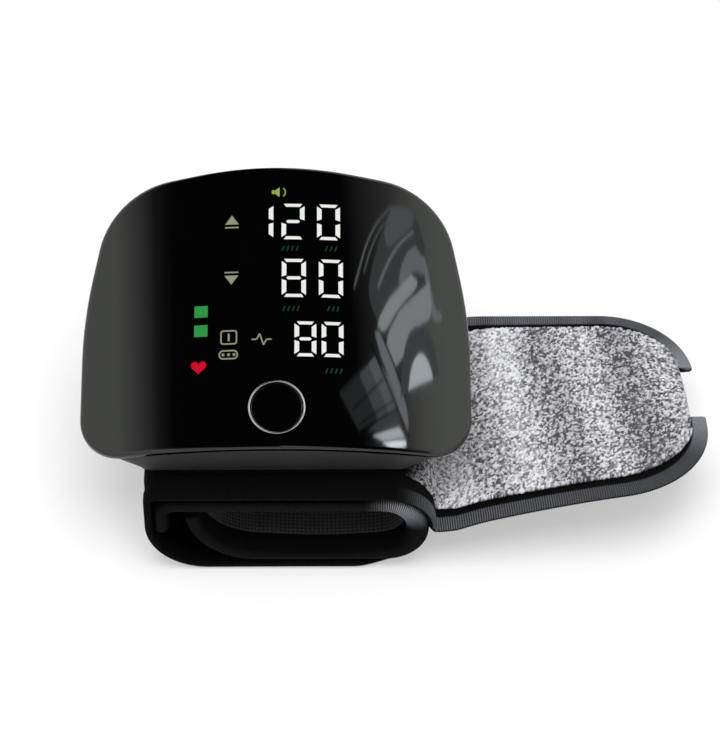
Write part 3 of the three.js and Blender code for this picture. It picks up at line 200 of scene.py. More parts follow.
class CuffSizes(bpy.types.PropertyGroup):
    """Sizes of the strap and the sleeve, seen from the front."""

    strap: length("Strap", "Thickness of the strap", 0.0014)
    tape_width: length("Tape width", "Width of the edge tape", 0.007)
    strap_tape: length("Strap tape", "Thickness of the tape on the strap", 0.0017)
    curl_tape: length("Sleeve tape", "Thickness of the tape on the sleeve", 0.0031)
    rib: length("Rib", "Distance between the ribs of the tape", 0.00048)
    rib_height: length("Rib height", "Height of the ribs of the tape", 0.00012)
    tip_wear: length("Tip wear", "Length of the tape that is rubbed pale at the tip", 0.015)
    proud: length("Proud", "How far the tape stands out past the solid", 0.0014)
    lower_turn: angle("Lower end", "How far the strap's lower end runs up round the right bend", 25)
    tuck: length("Tuck", "How far the strap's lower end draws in under the sleeve", 0.0016)
    thinning: length("Thinning", "Length over which the strap's lower end thins out", 0.011)
    low_round: length("Lower bend", "Radius of the lower left bend", 0.0125)
    top_round: length("Upper bend", "Radius of the upper left bend", 0.0025)
    root_bend: length("Root bend", "Radius of the bend into the tail", 0.0005)
    draw_in: length("Draw in", "How far the right shoulder is drawn in towards the cuff", 0.0009)
    root_sag: length("Root sag", "How far the tail sags at its root", 0.0009)
    sag_run: length("Sag run", "Length along the tail that the sag fades over", 0.011)
    curl_start: length("Sleeve start", "Height of the sleeve's outer end", 0.0115)
    curl_top: length("Sleeve top bend", "Radius of the sleeve's upper left bend", 0.0042)
    flap_start: length("Flap start", "Where the sleeve's inner end lifts off", 0.004)
    flap_round: length("Flap bend", "Radius of the inner end", 0.0146)
    flap_turn: angle("Flap turn", "How far the inner end bends up", 85)
    cover: length("Sleeve cloth", "Thickness of the sleeve's outer cloth", 0.0007)
    hem: length("Hem", "Width of the hems at the sleeve's ends", 0.0025)
    bladder_from: length("Bladder top", "Depth of the bladder's upper skin", 0.0016)
    bladder_to: length("Bladder bottom", "Depth of the bladder's lower skin", 0.0023)
    lining_from: length("Lining top", "Depth of the back of the lining", 0.0025)
    lining_to: length("Lining face", "Depth of the face of the lining", 0.0031)
    fuller: FloatProperty(name="Fuller", description="Extra padding round the right bend", default=1.15)
    slacker: FloatProperty(name="Slacker", description="Padding missing underneath", default=0.75, max=1)
    overlap: length("Overlap", "How far the sleeve's cloth runs over the tape", 0.0007)
    pile_overlap: length("Pile overlap", "How far the pile runs past the edge of the cloth", -0.0002)
    tip_overlap: length("Tip overlap", "How much further the pile runs over the tape at the tip", 0.0022)
    rear_overlap: length("Rear overlap", "How much further the pile runs over the rear tape", 0.001)
    # The pile's fade from black over the shoulder is also painted shadow of the case
    pile_start: length("Pile start", "Where the pile starts, back from the tail's root", 0.015)
    pile_fade: length("Pile fade", "Length over which the pile grows to its full height", 0.0105)


class TailSizes(bpy.types.PropertyGroup):
    """Sizes of the free end of the strap."""

    rise: length("Rise", "How far the near edge is lifted at the tip", 0.0079)
    taper: length("Taper", "How far the near edge runs in at the tip", 0.0042)
    proud: length("Proud", "How far the tape of the tail stands out past the solid", 0.0003)
    corner: length("Corner", "Radius of the corners at the tip", 0.02)
    notch_width: length("Notch width", "Width of the notch in the tape at the tip", 0.0163)
    notch_middle: length("Notch place", "Middle of the notch across the strap", 0.00385)
    notch_depth: length("Notch depth", "Depth of the notch", 0.0036)
    cut_back: length("Cut back", "How far the tip is cut back at the far side of the notch", 0.0012)
    cut_start: length("Cut start", "Where across the strap the tip starts to be cut back", -0.008)
    # These bands are painted shade for the cloth's undulations
    band: length("Band", "Distance between the worn bands of the pile", 0.0164)
    tuft: length("Tuft", "Size of the tufts of the pile", 0.0004)
    pile: length("Pile", "Height of the pile above the strap", 0.00042)
    hook: length("Hook", "Length of the hooks", 0.0005)
    hook_root: length("Hook root", "Radius of a hook at its root", 0.00019)
    hook_tip: length("Hook tip", "Radius of a hook at its tip", 0.00011)
    hook_pitch: length("Hook pitch", "Distance between the hooks", 0.0012)
    hook_gap: length("Hook gap", "From the strap to the backing of the hooks", 0.0001)
    hook_backing: length("Hook backing", "Thickness of the backing of the hooks", 0.0005)
    hook_corner: length("Hook corner", "Radius of the corners of the backing", 0.005)


class Colours(bpy.types.PropertyGroup):
    """Colours of the pieces."""

    cover: colour("Cover", "Polished black of the cover", 0.0006, 0.0008, 0.0007)
    case: colour("Case", "Moulded grey of the tub", 0.022, 0.022, 0.0205)
    silver: colour("Silver", "Plated ring", 0.66, 0.67, 0.68)
    digits: colour("Digits", "Lit digits", 0.86, 0.88, 0.84)
    labels: colour("Labels", "Signs beside the digits", 0.33, 0.33, 0.22)
    units: colour("Units", "Dim marks under the digits", 0.008, 0.045, 0.017)
    green: colour("Green", "Green squares", 0.03, 0.3, 0.06)
    heart: colour("Heart", "Pulse sign", 0.62, 0.004, 0.02)
    sound: colour("Sound", "Sound sign", 0.32, 0.5, 0.06)
    pile_light: colour("Light pile", "Pale fibres of the pile", 0.84, 0.84, 0.88)
    pile_dark: colour("Dark pile", "Dark fibres of the pile", 0.05, 0.05, 0.056)
    # Nearly full only in the painted highlight on the sleeve's right shoulder and in the pale wear at the tail's
    # tip
    tape: colour("Tape", "Ribbed edge tape, where it is rubbed most", 0.32, 0.34, 0.375)
    nylon: colour("Nylon", "Black cloth and tape", 0.0022, 0.0022, 0.0024)
    lining: colour("Lining", "Knitted mesh inside the loop", 0.042, 0.043, 0.045)
    floor: colour("Floor", "Pale floor", 0.93, 0.93, 0.93)


class StageSizes(bpy.types.PropertyGroup):
    """Camera, lights and reflectors."""

    azimuth: angle("Azimuth", "Turn of the camera round the object", -0.8)
    roll: angle("Roll", "Turn of the camera about its own line of sight", 0.4)
    elevation: angle("Elevation", "Height of the camera above the horizon", 46.5)
    distance: length("Distance", "From the camera to its target", 0.6)
    target: FloatVectorProperty(
        name="Target", description="Where the camera looks", default=(0.017069, 0, 0.024618),
        subtype="XYZ", unit="LENGTH",
    )
    lens: FloatProperty(name="Lens", description="Focal length in millimetres", default=140, unit="CAMERA")
    floor: length("Floor", "Half the width of the floor", 3.0)
    whiteness: FloatProperty(
        name="Whiteness", description="Share of the floor that shows plain white", default=0.45, min=0, max=1
    )
    ambient: FloatProperty(name="Ambient", description="Strength of the even light", default=0.55, min=0)
    key: FloatProperty(
        name="Key", description="Power of the lamp overhead", default=8.4, min=0, unit="POWER"
    )
    key_size: length("Key size", "Width of the lamp overhead", 0.7)
    key_place: FloatVectorProperty(
        name="Key place", description="Where the lamp hangs", default=(0.03, -0.2, 1.03),
        subtype="XYZ", unit="LENGTH",
    )
    key_target: FloatVectorProperty(
        name="Key target", description="Where the lamp points", default=(0.02, 0, 0),
        subtype="XYZ", unit="LENGTH",
    )
    card_height: length("Card height", "Height of the reflectors over the cover", 0.24)
    card_size: length("Card size", "Half the width of the ceiling that the cover mirrors", 1.2)
    floor_gap: length("Floor gap", "From the floor up to the object", 0.0001)


# Shader building
class Value:
    """A shader socket; arithmetic on it adds Math nodes."""

    def __init__(self, finish, socket):
        self.finish = finish
        self.socket = socket

    def maths(self, operation, *values):
        return self.finish.add("ShaderNodeMath", {"operation": operation}, dict(enumerate(values)))

    def __add__(self, other):
        return self.maths("ADD", self, other)

    def __rsub__(self, other):
        return self.maths("SUBTRACT", other, self)

    def __mul__(self, other):
        return self.maths("MULTIPLY", self, other)

    def __truediv__(self, other):
        return self.maths("DIVIDE", self, other)

    def __gt__(self, other):
        return self.maths("GREATER_THAN", self, other)

    def at_most(self, other):
        return self.maths("MINIMUM", self, other)

    def at_least(self, other):
        return self.maths("MAXIMUM", self, other)


class Finish:
    """One node tree being built."""

    def __init__(self, tree):
        self.tree = tree

    def add(self, kind, settings=None, sockets=None, output=0):
        """Adds a node with its settings, then its sockets' values or links, and returns one output."""
        node = self.tree.nodes.new(kind)
        for key, value in (settings or {}).items():
            if key == "stops":
                self.set_stops(node.color_ramp, value)
            else:
                setattr(node, key, value)
        for key, value in (sockets or {}).items():
            self.feed(node.inputs[key], value)
        return Value(self, node.outputs[output])

    @staticmethod
    def set_stops(ramp, stops):
        while len(ramp.elements) < len(stops):
            ramp.elements.new(1.0)
        for element, (place, shade) in zip(ramp.elements, stops):
            element.position = place
            element.color = (*shade, 1.0)

    def feed(self, socket, value):
        if isinstance(value, Value):
            self.tree.links.new(value.socket, socket)
        else:
            socket.default_value = value

    def place(self):
        return self.add("ShaderNodeTexCoord", output="Object")

    def unwrapped(self):
        return self.add("ShaderNodeUVMap", {"uv_map": "UVMap"})

    def scaled(self, vector, scale):
        return self.add("ShaderNodeMapping", None, {"Vector": vector, "Scale": scale})

    def grain(self, vector, scale, detail=2.0, roughness=0.5):
        return self.add(
            "ShaderNodeTexNoise", None,
            {"Vector": vector, "Scale": scale, "Detail": detail, "Roughness": roughness},
        )

    def weave(self, threads):
        """Crossing threads over and under, so many to the metre."""
        spot = self.scaled(self.unwrapped(), (threads, threads, 1))
        return self.add("ShaderNodeTexChecker", None, {"Vector": spot, "Scale": 1.0}, output="Fac")

    def ramp(self, factor, *stops):
        return self.add("ShaderNodeValToRGB", {"stops": stops}, {"Fac": factor})

    def mixed(self, factor, first, second):
        return self.add("ShaderNodeMix", {"data_type": "RGBA"}, {0: factor, 6: first, 7: second}, output=2)

    def bump(self, height, distance, strength=1.0):
        return self.add(
            "ShaderNodeBump", None, {"Height": height, "Distance": distance, "Strength": strength}
        )


class Surface(Finish):
    """A material with its one main shader."""

    def __init__(self, name):
        self.material = bpy.data.materials.new(name)
        self.material.use_nodes = True
        super().__init__(self.material.node_tree)
        self.shader = self.tree.nodes["Principled BSDF"]

    def set(self, **sockets):
        for key, value in sockets.items():
            self.feed(self.shader.inputs[key.replace("_", " ")], value)
        return self.material


def opaque(shade, factor=1.0):
    """A colour with full alpha, made lighter or darker by a factor."""
    return (*(channel * factor for channel in shade), 1.0)


def gloss_black(surface, tints):
    surface.shader.inputs["IOR"].default_value = 1.5
    smears = surface.grain(surface.place(), 90, 3)
    shade = surface.mixed(smears, opaque(tints.cover, 0.8), opaque(tints.cover, 1.2))
    return surface.set(Base_Color=shade, Roughness=smears * 0.04 + 0.015)


def case_grey(surface, tints):
    spot = surface.place()
    spark = surface.grain(spot, 3800, 2)
    shade = surface.mixed(surface.grain(spot, 120), opaque(tints.case, 0.85), opaque(tints.case, 1.2))
    wear_and_highlight = surface.grain(spot, 60)
    return surface.set(
        Base_Color=shade, Roughness=wear_and_highlight * 0.12 + 0.42, Normal=surface.bump(spark, 0.00005, 0.6)
    )


def ring_silver(surface, tints):
    spot = surface.place()
    brushed = surface.grain(surface.scaled(spot, (300, 300, 6000)), 1, 2)
    return surface.set(
        Base_Color=opaque(tints.silver), Metallic=1.0, Roughness=brushed * 0.12 + 0.16,
        Normal=surface.bump(brushed, 0.00001, 0.3),
    )


def plain_metal(shade, roughness):
    """A maker of bare metal finishes with fine drawn lines."""
    def make(surface, _tints):
        drawn = surface.grain(surface.scaled(surface.place(), (200, 4000, 4000)), 1, 2)
        return surface.set(
            Base_Color=surface.mixed(drawn, opaque(shade, 0.85), opaque(shade)), Metallic=1.0,
            Roughness=drawn * 0.15 + roughness,
        )
    return make


def moulded(shade, roughness, grain_size=0.0004):
    """A maker of plain moulded or rubber finishes with a fine grain."""
    def make(surface, _tints):
        grain = surface.grain(surface.place(), 1 / grain_size, 2)
        return surface.set(
            Base_Color=surface.mixed(grain, opaque(shade, 0.85), opaque(shade, 1.1)),
            Roughness=grain * 0.1 + roughness, Normal=surface.bump(grain, grain_size / 10, 0.5),
        )
    return make


def board_green(surface, _tints):
    spot = surface.place()
    tracks = surface.grain(surface.scaled(spot, (900, 60, 900)), 1, 0) > 0.55
    shade = surface.mixed(tracks, (0.013, 0.07, 0.036, 1), (0.022, 0.11, 0.055, 1))
    return surface.set(Base_Color=shade, Roughness=0.35, Normal=surface.bump(tracks, 0.00003))


def pile_cloth(surface, tints):
    """Salt and pepper loops where the shade attribute is above nought, and black woven cloth elsewhere; the
    attribute also holds painted shade and light.
    """
    fleck = surface.add("ShaderNodeAttribute", {"attribute_name": "fleck"}, output="Fac")
    fibre = surface.grain(surface.place(), 5200, 2, 0.7)
    middle = [(dark + light) / 2 for dark, light in zip(tints.pile_dark, tints.pile_light)]
    pile = surface.ramp(
        fleck * (fibre * 0.8 + 0.6), (0.04, tints.nylon), (0.14, tints.pile_dark), (0.55, middle),
        (0.98, tints.pile_light),
    )
    weave = surface.weave(1900)
    cloth = surface.mixed(weave * 0.6 + fibre * 0.4, opaque(tints.nylon, 0.3), opaque(tints.nylon, 2.4))
    grown = (fleck * 12).at_most(1)
    height = fibre * grown + weave * (1 - grown)
    return surface.set(
        Base_Color=surface.mixed(grown, cloth, pile), Roughness=0.95, Specular_IOR_Level=0.05,
        Normal=surface.bump(height, 0.00012, 0.7),
    )


def edge_tape(surface, tints):
    """Ribbed tape: black where the shade attribute is nought, slate where it is one; it holds wear and painted
    light and shadow.
    """
    # worn: the shade attribute, which holds wear as well as painted highlights and shadow
    worn = surface.add("ShaderNodeAttribute", {"attribute_name": "fleck"}, output="Fac")
    yarn = surface.grain(surface.place(), 3300, 2, 0.6)
    shade = surface.mixed(worn * (yarn * 0.7 + 0.65), opaque(tints.nylon), opaque(tints.tape))
    return surface.set(
        Base_Color=shade, Roughness=0.8, Specular_IOR_Level=0.06, Sheen_Weight=0.01, Sheen_Roughness=0.3,
        Normal=surface.bump(yarn, 0.00006, 0.7),
    )


def mesh_cloth(surface, tints):
    knit = surface.add(
        "ShaderNodeTexVoronoi", {"feature": "F1"},
        {"Vector": surface.unwrapped(), "Scale": 1150, "Randomness": 0.15}, output="Distance",
    )
    yarn = surface.grain(surface.place(), 5000, 2)
    shade = surface.ramp(
        knit + yarn * 0.15, (0.2, [channel * 0.12 for channel in tints.lining]), (0.42, tints.lining),
        (0.8, [channel * 1.7 for channel in tints.lining]),
    )
    return surface.set(
        Base_Color=shade, Roughness=0.9, Specular_IOR_Level=0.15, Sheen_Weight=0.05,
        Normal=surface.bump(knit, 0.0002, 0.8),
    )


def sleeve_cloth(surface, tints):
    threads = surface.weave(2400)
    yarn = surface.grain(surface.place(), 2500, 2)
    shade = surface.mixed(threads * 0.6 + yarn * 0.4, opaque(tints.nylon, 0.3), opaque(tints.nylon, 2.4))
    return surface.set(
        Base_Color=shade, Roughness=0.75, Specular_IOR_Level=0.06, Sheen_Weight=0.01,
        Normal=surface.bump(threads, 0.00005, 0.5),
    )


MAKERS = {
    "gloss_black": gloss_black,
    "case_grey": case_grey,
    "ring_silver": ring_silver,
    "steel": plain_metal((0.42, 0.43, 0.44), 0.28),
    "cell_foil": plain_metal((0.52, 0.54, 0.56), 0.3),
    "chip_black": moulded((0.009, 0.0095, 0.0105), 0.5),
    "white_plastic": moulded((0.74, 0.74, 0.69), 0.45),
    "soft_rubber": moulded((0.14, 0.145, 0.155), 0.7),
    "foam": moulded((0.041, 0.041, 0.043), 0.9, 0.0008),
    "board_green": board_green,
    "pile_cloth": pile_cloth,
    "edge_tape": edge_tape,
    "mesh_cloth": mesh_cloth,
    "sleeve_cloth": sleeve_cloth,
}


def finish_for(slot):
    """The material of a slot, made the first time that it is asked for."""
    name = slot + "_finish"
    tints = bpy.context.scene.monitor_colours
    return bpy.data.materials.get(name) or MAKERS[slot](Surface(name), tints)


def lit_finish(name, shade, strength):
    """A shape of the display that glows under the polished cover."""
    surface = Surface(name)
    even = surface.grain(surface.place(), 700, 2)
    glow = surface.mixed(even, opaque(shade, 0.92), opaque(shade, 1.0))
    surface.shader.inputs["Emission Strength"].default_value = strength
    return surface.set(Base_Color=(0.002, 0.002, 0.002, 1), Roughness=0.06, Emission_Color=glow)


# Mesh building
def arc(total, steps):
    """Evenly spaced angles from nought to a total."""
    return [total * step / steps for step in range(steps + 1)]


def round_points(middle, radius, steps):
    """Points evenly spaced round a middle."""
    return [middle + direction(turn) * radius for turn in arc(2 * math.pi, steps)[:-1]]


def direction(turn):
    return Vector((math.cos(turn), math.sin(turn)))


def rounded_outline(corners, inset, steps):
    """Points of a closed outline of (x, y, rounding) corners, counterclockwise, moved inwards."""
    points = []
    for index, (x, y, radius) in enumerate(corners):
        corner = Vector((x, y))
        back = (Vector(corners[index - 1][:2]) - corner).normalized()
        ahead = (Vector(corners[(index + 1) % len(corners)][:2]) - corner).normalized()
        half = back.angle(ahead) / 2
        centre = corner + (back + ahead).normalized() * radius / math.sin(half)
        start = corner + back * radius / math.tan(half) - centre
        first = math.atan2(start.y, start.x)
        for turn in arc(math.pi - 2 * half, steps):
            points.append(centre + direction(first + turn) * (radius - inset))
    return points


def box_corners(left, right, front, rear, radius):
    return [(left, front, radius), (right, front, radius), (right, rear, radius), (left, rear, radius)]


def on_rays(outline, middle, count):
    """Where evenly spaced rays from a middle point cross an outline."""
    reach = 2 * max((point - middle).length for point in outline)
    points = []
    for tip in round_points(middle, reach, count):
        sides = zip(outline, outline[1:] + outline[:1])
        hits = (geometry.intersect_line_line_2d(middle, tip, start, end) for start, end in sides)
        points.append(next(hit for hit in hits if hit))
    return points


def add_loop(bm, points, height):
    """A closed loop of edges at one height."""
    verts = [bm.verts.new((point[0], point[1], height)) for point in points]
    return [bm.edges.new(pair) for pair in zip(verts, verts[1:] + verts[:1])]


def bridge(bm, loops):
    for first, second in zip(loops, loops[1:]):
        bmesh.ops.bridge_loops(bm, edges=first + second)


def slice_along_u(bm, half_width, strips):
    """Cuts a mesh into narrow strips, so that it can follow a curve from side to side."""
    for cut in range(1, strips):
        u = half_width * (2 * cut / strips - 1)
        parts = bm.verts[:] + bm.edges[:] + bm.faces[:]
        bmesh.ops.bisect_plane(bm, geom=parts, dist=MERGE, plane_co=(u, 0, 0), plane_no=(1, 0, 0))


def turned(profile, u, v, steps):
    """A round piece from (radius, height) points, turned about an upright axis."""
    bm = bmesh.new()
    verts = [bm.verts.new((u + radius, v, height)) for radius, height in profile]
    edges = [bm.edges.new(pair) for pair in zip(verts, verts[1:])]
    bmesh.ops.spin(
        bm, geom=verts + edges, cent=(u, v, 0), axis=(0, 0, 1), angle=2 * math.pi, steps=steps,
        use_merge=True,
    )
    bmesh.ops.remove_doubles(bm, verts=bm.verts, dist=MERGE)
    bmesh.ops.recalc_face_normals(bm, faces=bm.faces)
    return bm


def swept(profile, stations, place, girth=1.0, shade=None):
    """A closed skin that carries a profile of (across, height) points through the stations of a length.

    Returns the mesh and the vertices of its upper side, where the height isn't below zero."""
    bm = bmesh.new()
    layer = bm.loops.layers.uv.new("UVMap")
    fleck = bm.verts.layers.float.new("fleck")
    rows = len(stations) - 1
    bmesh.ops.create_grid(bm, x_segments=len(profile), y_segments=rows, size=0.5, calc_uvs=True)
    run = stations[-1] - stations[0]
    for face in bm.faces:
        for loop in face.loops:
            loop[layer].uv = (loop[layer].uv.x * girth, loop[layer].uv.y * run)
    upper = []
    for vert in bm.verts:
        point = profile[round((vert.co.x + 0.5) * len(profile)) % len(profile)]
        station = stations[round((vert.co.y + 0.5) * rows)]
        vert.co = place(station, point)
        vert[fleck] = shade(station, point) if shade else 0.0
        if point[1] >= 0:
            upper.append(vert)
    bmesh.ops.remove_doubles(bm, verts=bm.verts, dist=MERGE)
    bmesh.ops.holes_fill(bm, edges=bm.edges, sides=0)
    bmesh.ops.recalc_face_normals(bm, faces=bm.faces)
    return bm, [vert for vert in upper if vert.is_valid]


def eased(share):
    """A smooth step from nought to one."""
    share = min(1.0, max(0.0, share))
    return share * share * (3 - 2 * share)


def spaced(start, end, step):
    """Evenly spaced places from start to end."""
    count = max(1, round((end - start) / step))
    return [start + (end - start) * index / count for index in range(count + 1)]


def mesh_of(name, bm):
    """A mesh from a bmesh, which is freed."""
    mesh = bpy.data.meshes.new(name)
    bm.to_mesh(mesh)
    bm.free()
    return mesh


def linked(name, data):
    """A new object in the scene."""
    thing = bpy.data.objects.new(name, data)
    bpy.context.scene.collection.objects.link(thing)
    return thing


def add_piece(name, bm, slot, body=None, stands_for=(), material=None, crease=40):
    """Makes an object of a mesh, smooth but for its creases, and ties it to the frame."""
    for face in bm.faces:
        face.smooth = True
    for edge in bm.edges:
        edge.smooth = edge.calc_face_angle(0.0) < math.radians(crease)
    piece = linked(name, mesh_of(name, bm))
    piece.data.materials.append(material or finish_for(slot))
    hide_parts(*stands_for)
    if body:
        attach(piece, body)
    return piece


class Dome:
    """The front of the case as a surface."""

    def __init__(self, sizes):
        self.sizes = sizes
        reach = (cover_high.y - cover_low.y - sizes.thickness * panel_up.z) / panel_up.y
        self.origin = Vector((0, cover_low.y, cover_high.z - reach * panel_up.z))

    def spot(self, u, v, n=0.0):
        rise = math.sqrt(self.sizes.dome ** 2 - u ** 2) - self.sizes.dome
        return self.origin + Vector((u, 0, 0)) + panel_up * v + panel_out * (n + rise)

    def normal(self, u):
        tilt = u / self.sizes.dome
        return Vector((tilt, 0, 0)) + panel_out * math.sqrt(1 - tilt ** 2)

    def polish(self, mesh):
        """Gives a mesh the dome's own normals where it lies on it, so that it mirrors without a break."""
        normals = [corner.vector.copy() for corner in mesh.corner_normals]
        for index, loop in enumerate(mesh.loops):
            spot = mesh.vertices[loop.vertex_index].co
            if abs((spot - self.spot(spot.x, 0)).dot(panel_out)) < ON_DOME:
                normals[index] = self.normal(spot.x)
        mesh.normals_split_custom_set(normals)

    def mirrored(self, eye, u, v, height):
        """The point at a height overhead that an eye sees mirrored at a place on the dome."""
        spot = self.spot(u, v)
        ray = (spot - eye).reflect(self.normal(u))
        return spot + ray * (height - spot.z) / ray.z

    def lay(self, bm):
        """Moves a flat mesh of u, v and n onto the dome."""
        for vert in bm.verts:
            vert.co = self.spot(*vert.co)

    def outline(self, inset, steps=14):
        sizes = self.sizes
        right = [
            (sizes.half_width, 0, sizes.near_round),
            (sizes.half_width, sizes.waist, sizes.side_round),
            (sizes.far_half_width, sizes.far_reach, sizes.far_round),
        ]
        left = [(-u, v, radius) for u, v, radius in reversed(right)]
        return rounded_outline([*right, (0, sizes.crest, sizes.crest_round), *left], inset, steps)


class Trail:
    """A line of straight runs and bends in a plane; bends to the right are positive."""

    def __init__(self, x, y, heading):
        self.runs = []
        self.length = 0.0
        self.end = Vector((x, y))
        self.heading = heading

    def straight(self, distance):
        self.runs.append((self.length, self.end, self.heading, 0.0))
        self.length += distance
        self.end = self.spot(self.length)[0]
        return self

    def bend(self, radius, turn):
        self.runs.append((self.length, self.end, self.heading, -math.copysign(1 / radius, turn)))
        self.length += radius * abs(turn)
        self.end = self.spot(self.length)[0]
        self.heading -= turn
        return self

    def spot(self, distance):
        """The point at a distance along the line, and the direction to its right."""
        passed = (run for run in reversed(self.runs) if run[0] <= max(distance, 0.0))
        start, point, heading, curve = next(passed)
        gone = distance - start
        now = heading + curve * gone
        if curve:
            ahead = Vector((math.sin(now) - math.sin(heading), math.cos(heading) - math.cos(now))) / curve
        else:
            ahead = direction(heading) * gone
        return point + ahead, Vector((math.sin(now), -math.cos(now)))


def strap_trail(cuff):
    """The outer face of the strap, from under the cuff round the left to the root of the tail."""
    left = strap_low.x
    top = strap_high.z
    shoulder = top - curl_middle.y
    root_top = tail_root.z + cuff.strap / 2 - cuff.root_sag
    turn = math.acos((root_top - curl_middle.y + cuff.root_bend) / (shoulder + cuff.root_bend))
    under = curl_middle.y - strap_low.z
    start = curl_middle + under * Vector((math.sin(cuff.lower_turn), -math.cos(cuff.lower_turn)))
    return (
        Trail(*start, math.pi + cuff.lower_turn)
        .bend(under, cuff.lower_turn)
        .straight(curl_middle.x - left - cuff.low_round)
        .bend(cuff.low_round, QUARTER)
        .straight(top - cuff.low_round - cuff.top_round)
        .bend(cuff.top_round, QUARTER)
        .straight(curl_middle.x - left - cuff.top_round - cuff.draw_in)
        .bend(shoulder, turn)
        .bend(cuff.root_bend, -turn)
    )


def curl_trail(cuff):
    """The outer face of the sleeve, from the left wall over the wrist space and round to the flap."""
    return (
        Trail(curl_low.x, cuff.curl_start, QUARTER)
        .straight(curl_high.z - cuff.curl_top - cuff.curl_start)
        .bend(cuff.curl_top, QUARTER)
        .straight(curl_middle.x - curl_low.x - cuff.curl_top)
        .bend(curl_radius, math.pi)
        .straight(curl_middle.x + cuff.flap_start)
        .bend(cuff.flap_round, cuff.flap_turn)
    )


# Share of the strap's thickness that is left at its lower end
THIN_END = 0.03


class Strap:
    """The strap as a surface: round the loop first, then out along the tail."""

    def __init__(self, cuff, tail):
        self.cuff = cuff
        self.tail = tail
        self.loop = strap_trail(cuff)
        self.top = tail_root.z + cuff.strap / 2
        self.tip = tail_high.x
        self.half = half_cuff + tail.proud
        self.near_heading = math.atan2(tail.taper, self.tip - tail_root.x)

    def lift(self, x, y):
        """How far the tail is lifted at a place."""
        share = min(1.0, max(0.0, (x - tail_root.x) / (self.tip - tail_root.x)))
        return self.tail.rise * math.sin(share * QUARTER) * (half_cuff - y) / (2 * half_cuff)

    def cut(self, x, y):
        """How far the tip is cut back at a place, more towards the rear."""
        tail = self.tail
        along = max(0.0, (x - self.tip) / tail.corner + 1)
        notch_end = tail.notch_middle + tail.notch_width / 2
        across = min(1.0, max(0.0, (y - tail.cut_start) / (notch_end - tail.cut_start)))
        return tail.cut_back * along * across ** 2

    def tail_spot(self, x, y, height):
        sag = self.cuff.root_sag * (1 - eased((x - self.loop.end.x) / self.cuff.sag_run))
        return Vector((x - self.cut(x, y), y, self.top + self.lift(x, y) + height - sag))

    def loop_spot(self, distance, y, height, thickness):
        """A point of the loop, which thins out towards its lower end."""
        full = THIN_END + (1 - THIN_END) * eased(distance / self.cuff.thinning)
        point, right = self.loop.spot(distance)
        point = point + right * (thickness - (height + thickness) * full + (1 - full) * self.cuff.strap / 8)
        return Vector((point.x, y * (1 - (1 - full) * self.cuff.tuck / half_cuff), point.y))

    def worn(self, distance):
        """Share of pile, or of wear on the tape: none on the loop, full from the shoulder on, with a slow fade
        between that is also painted shadow of the case.
        """
        return eased((distance - self.loop.length + self.cuff.pile_start) / self.cuff.pile_fade)

    def edge_line(self, side):
        """The tail's outline from the root to the notch, on the front (-1) or the rear (1)."""
        tail = self.tail
        heading = self.near_heading if side < 0 else 0.0
        run = (self.tip - self.loop.end.x - tail.corner * (1 - math.sin(heading))) / math.cos(heading)
        line = Trail(self.loop.end.x, side * self.half, heading).straight(run)
        line.bend(tail.corner, side * (QUARTER + side * heading))
        notch = tail.notch_middle + side * tail.notch_width / 2
        return line.straight(side * (line.end.y - notch))

    def edge_spot(self, side, line, distance, across, height):
        """A point near one edge of the strap: across is inwards from the edge."""
        if distance <= self.loop.length:
            drawn_in = eased(1 - (self.loop.length - distance) / self.cuff.pile_start)
            edge = self.half + (self.cuff.proud - self.tail.proud) * (1 - drawn_in) - across
            return self.loop_spot(distance, side * edge, height, self.cuff.strap_tape)
        point, right = line.spot(distance - self.loop.length)
        point = point + right * side * across
        return self.tail_spot(point.x, point.y, height)

    def cloth_reach(self, x):
        """The cloth's near and far sides at a place along the tail."""
        inset = half_cuff - half_cloth - self.cuff.pile_overlap
        radius = self.tail.corner - inset
        bend = self.tip - self.tail.corner
        near = -half_cuff + inset + max(0.0, x - tail_root.x) * math.tan(self.near_heading)
        far = half_cuff - inset + self.cuff.rear_overlap * eased((x - tail_root.x) / self.cuff.sag_run)
        if x > bend:
            share = (x - bend) / (radius + self.cuff.tip_overlap)
            drop = radius * (1 - math.sqrt(max(0.0, 1 - share ** 2)))
            near += drop
            far -= drop
        return near, far

    def cloth_spot(self, distance, across, height):
        """A point of the cloth between the tapes: across runs from -1 at the front to 1 at the rear."""
        if distance <= self.loop.length:
            y = across * (half_cloth + self.cuff.pile_overlap)
            return self.loop_spot(distance, y, height, self.cuff.strap)
        x = self.loop.end.x + distance - self.loop.length
        near, far = self.cloth_reach(x)
        return self.tail_spot(x, near + (far - near) * (across + 1) / 2, height)


# Upper side of a tape, in shares of its width and mm of height: under the cloth, at the sunk seam, ribbed
TAPE_FACE = [(1.0, -0.12), (0.8, -0.16), (0.6, -0.3), (0.48, -0.14), (0.42, -0.05), (0.28, -0.05)]
# Share of its width that has ribs, and share of its thickness above the fold's underside, which is painted black
# as shadow
RIBBED = 0.43
FOLD_SHOWN = 0.45


def tape_profile(width, thickness):
    """A folded tape in section: across from its outer edge, and height from its upper face."""
    nose = min(thickness / 2, width / 4)
    fullness = 0.94 * thickness / 2
    face = [(width * share, height / 1000) for share, height in TAPE_FACE]
    turns = [QUARTER + turn for turn in arc(math.pi, 8)]
    fold = [(nose + nose * math.cos(turn), fullness * math.sin(turn) - thickness / 2) for turn in turns]
    under = [(across, -thickness - height) for across, height in reversed(face)]
    return face + fold + under


def with_normals(profile):
    """Adds the outward direction at each point of a closed profile."""
    points = []
    for index, (across, height) in enumerate(profile):
        before = Vector(profile[index - 1])
        after = Vector(profile[(index + 1) % len(profile)])
        run = (after - before).normalized()
        points.append((across, height, run.y, -run.x))
    return points


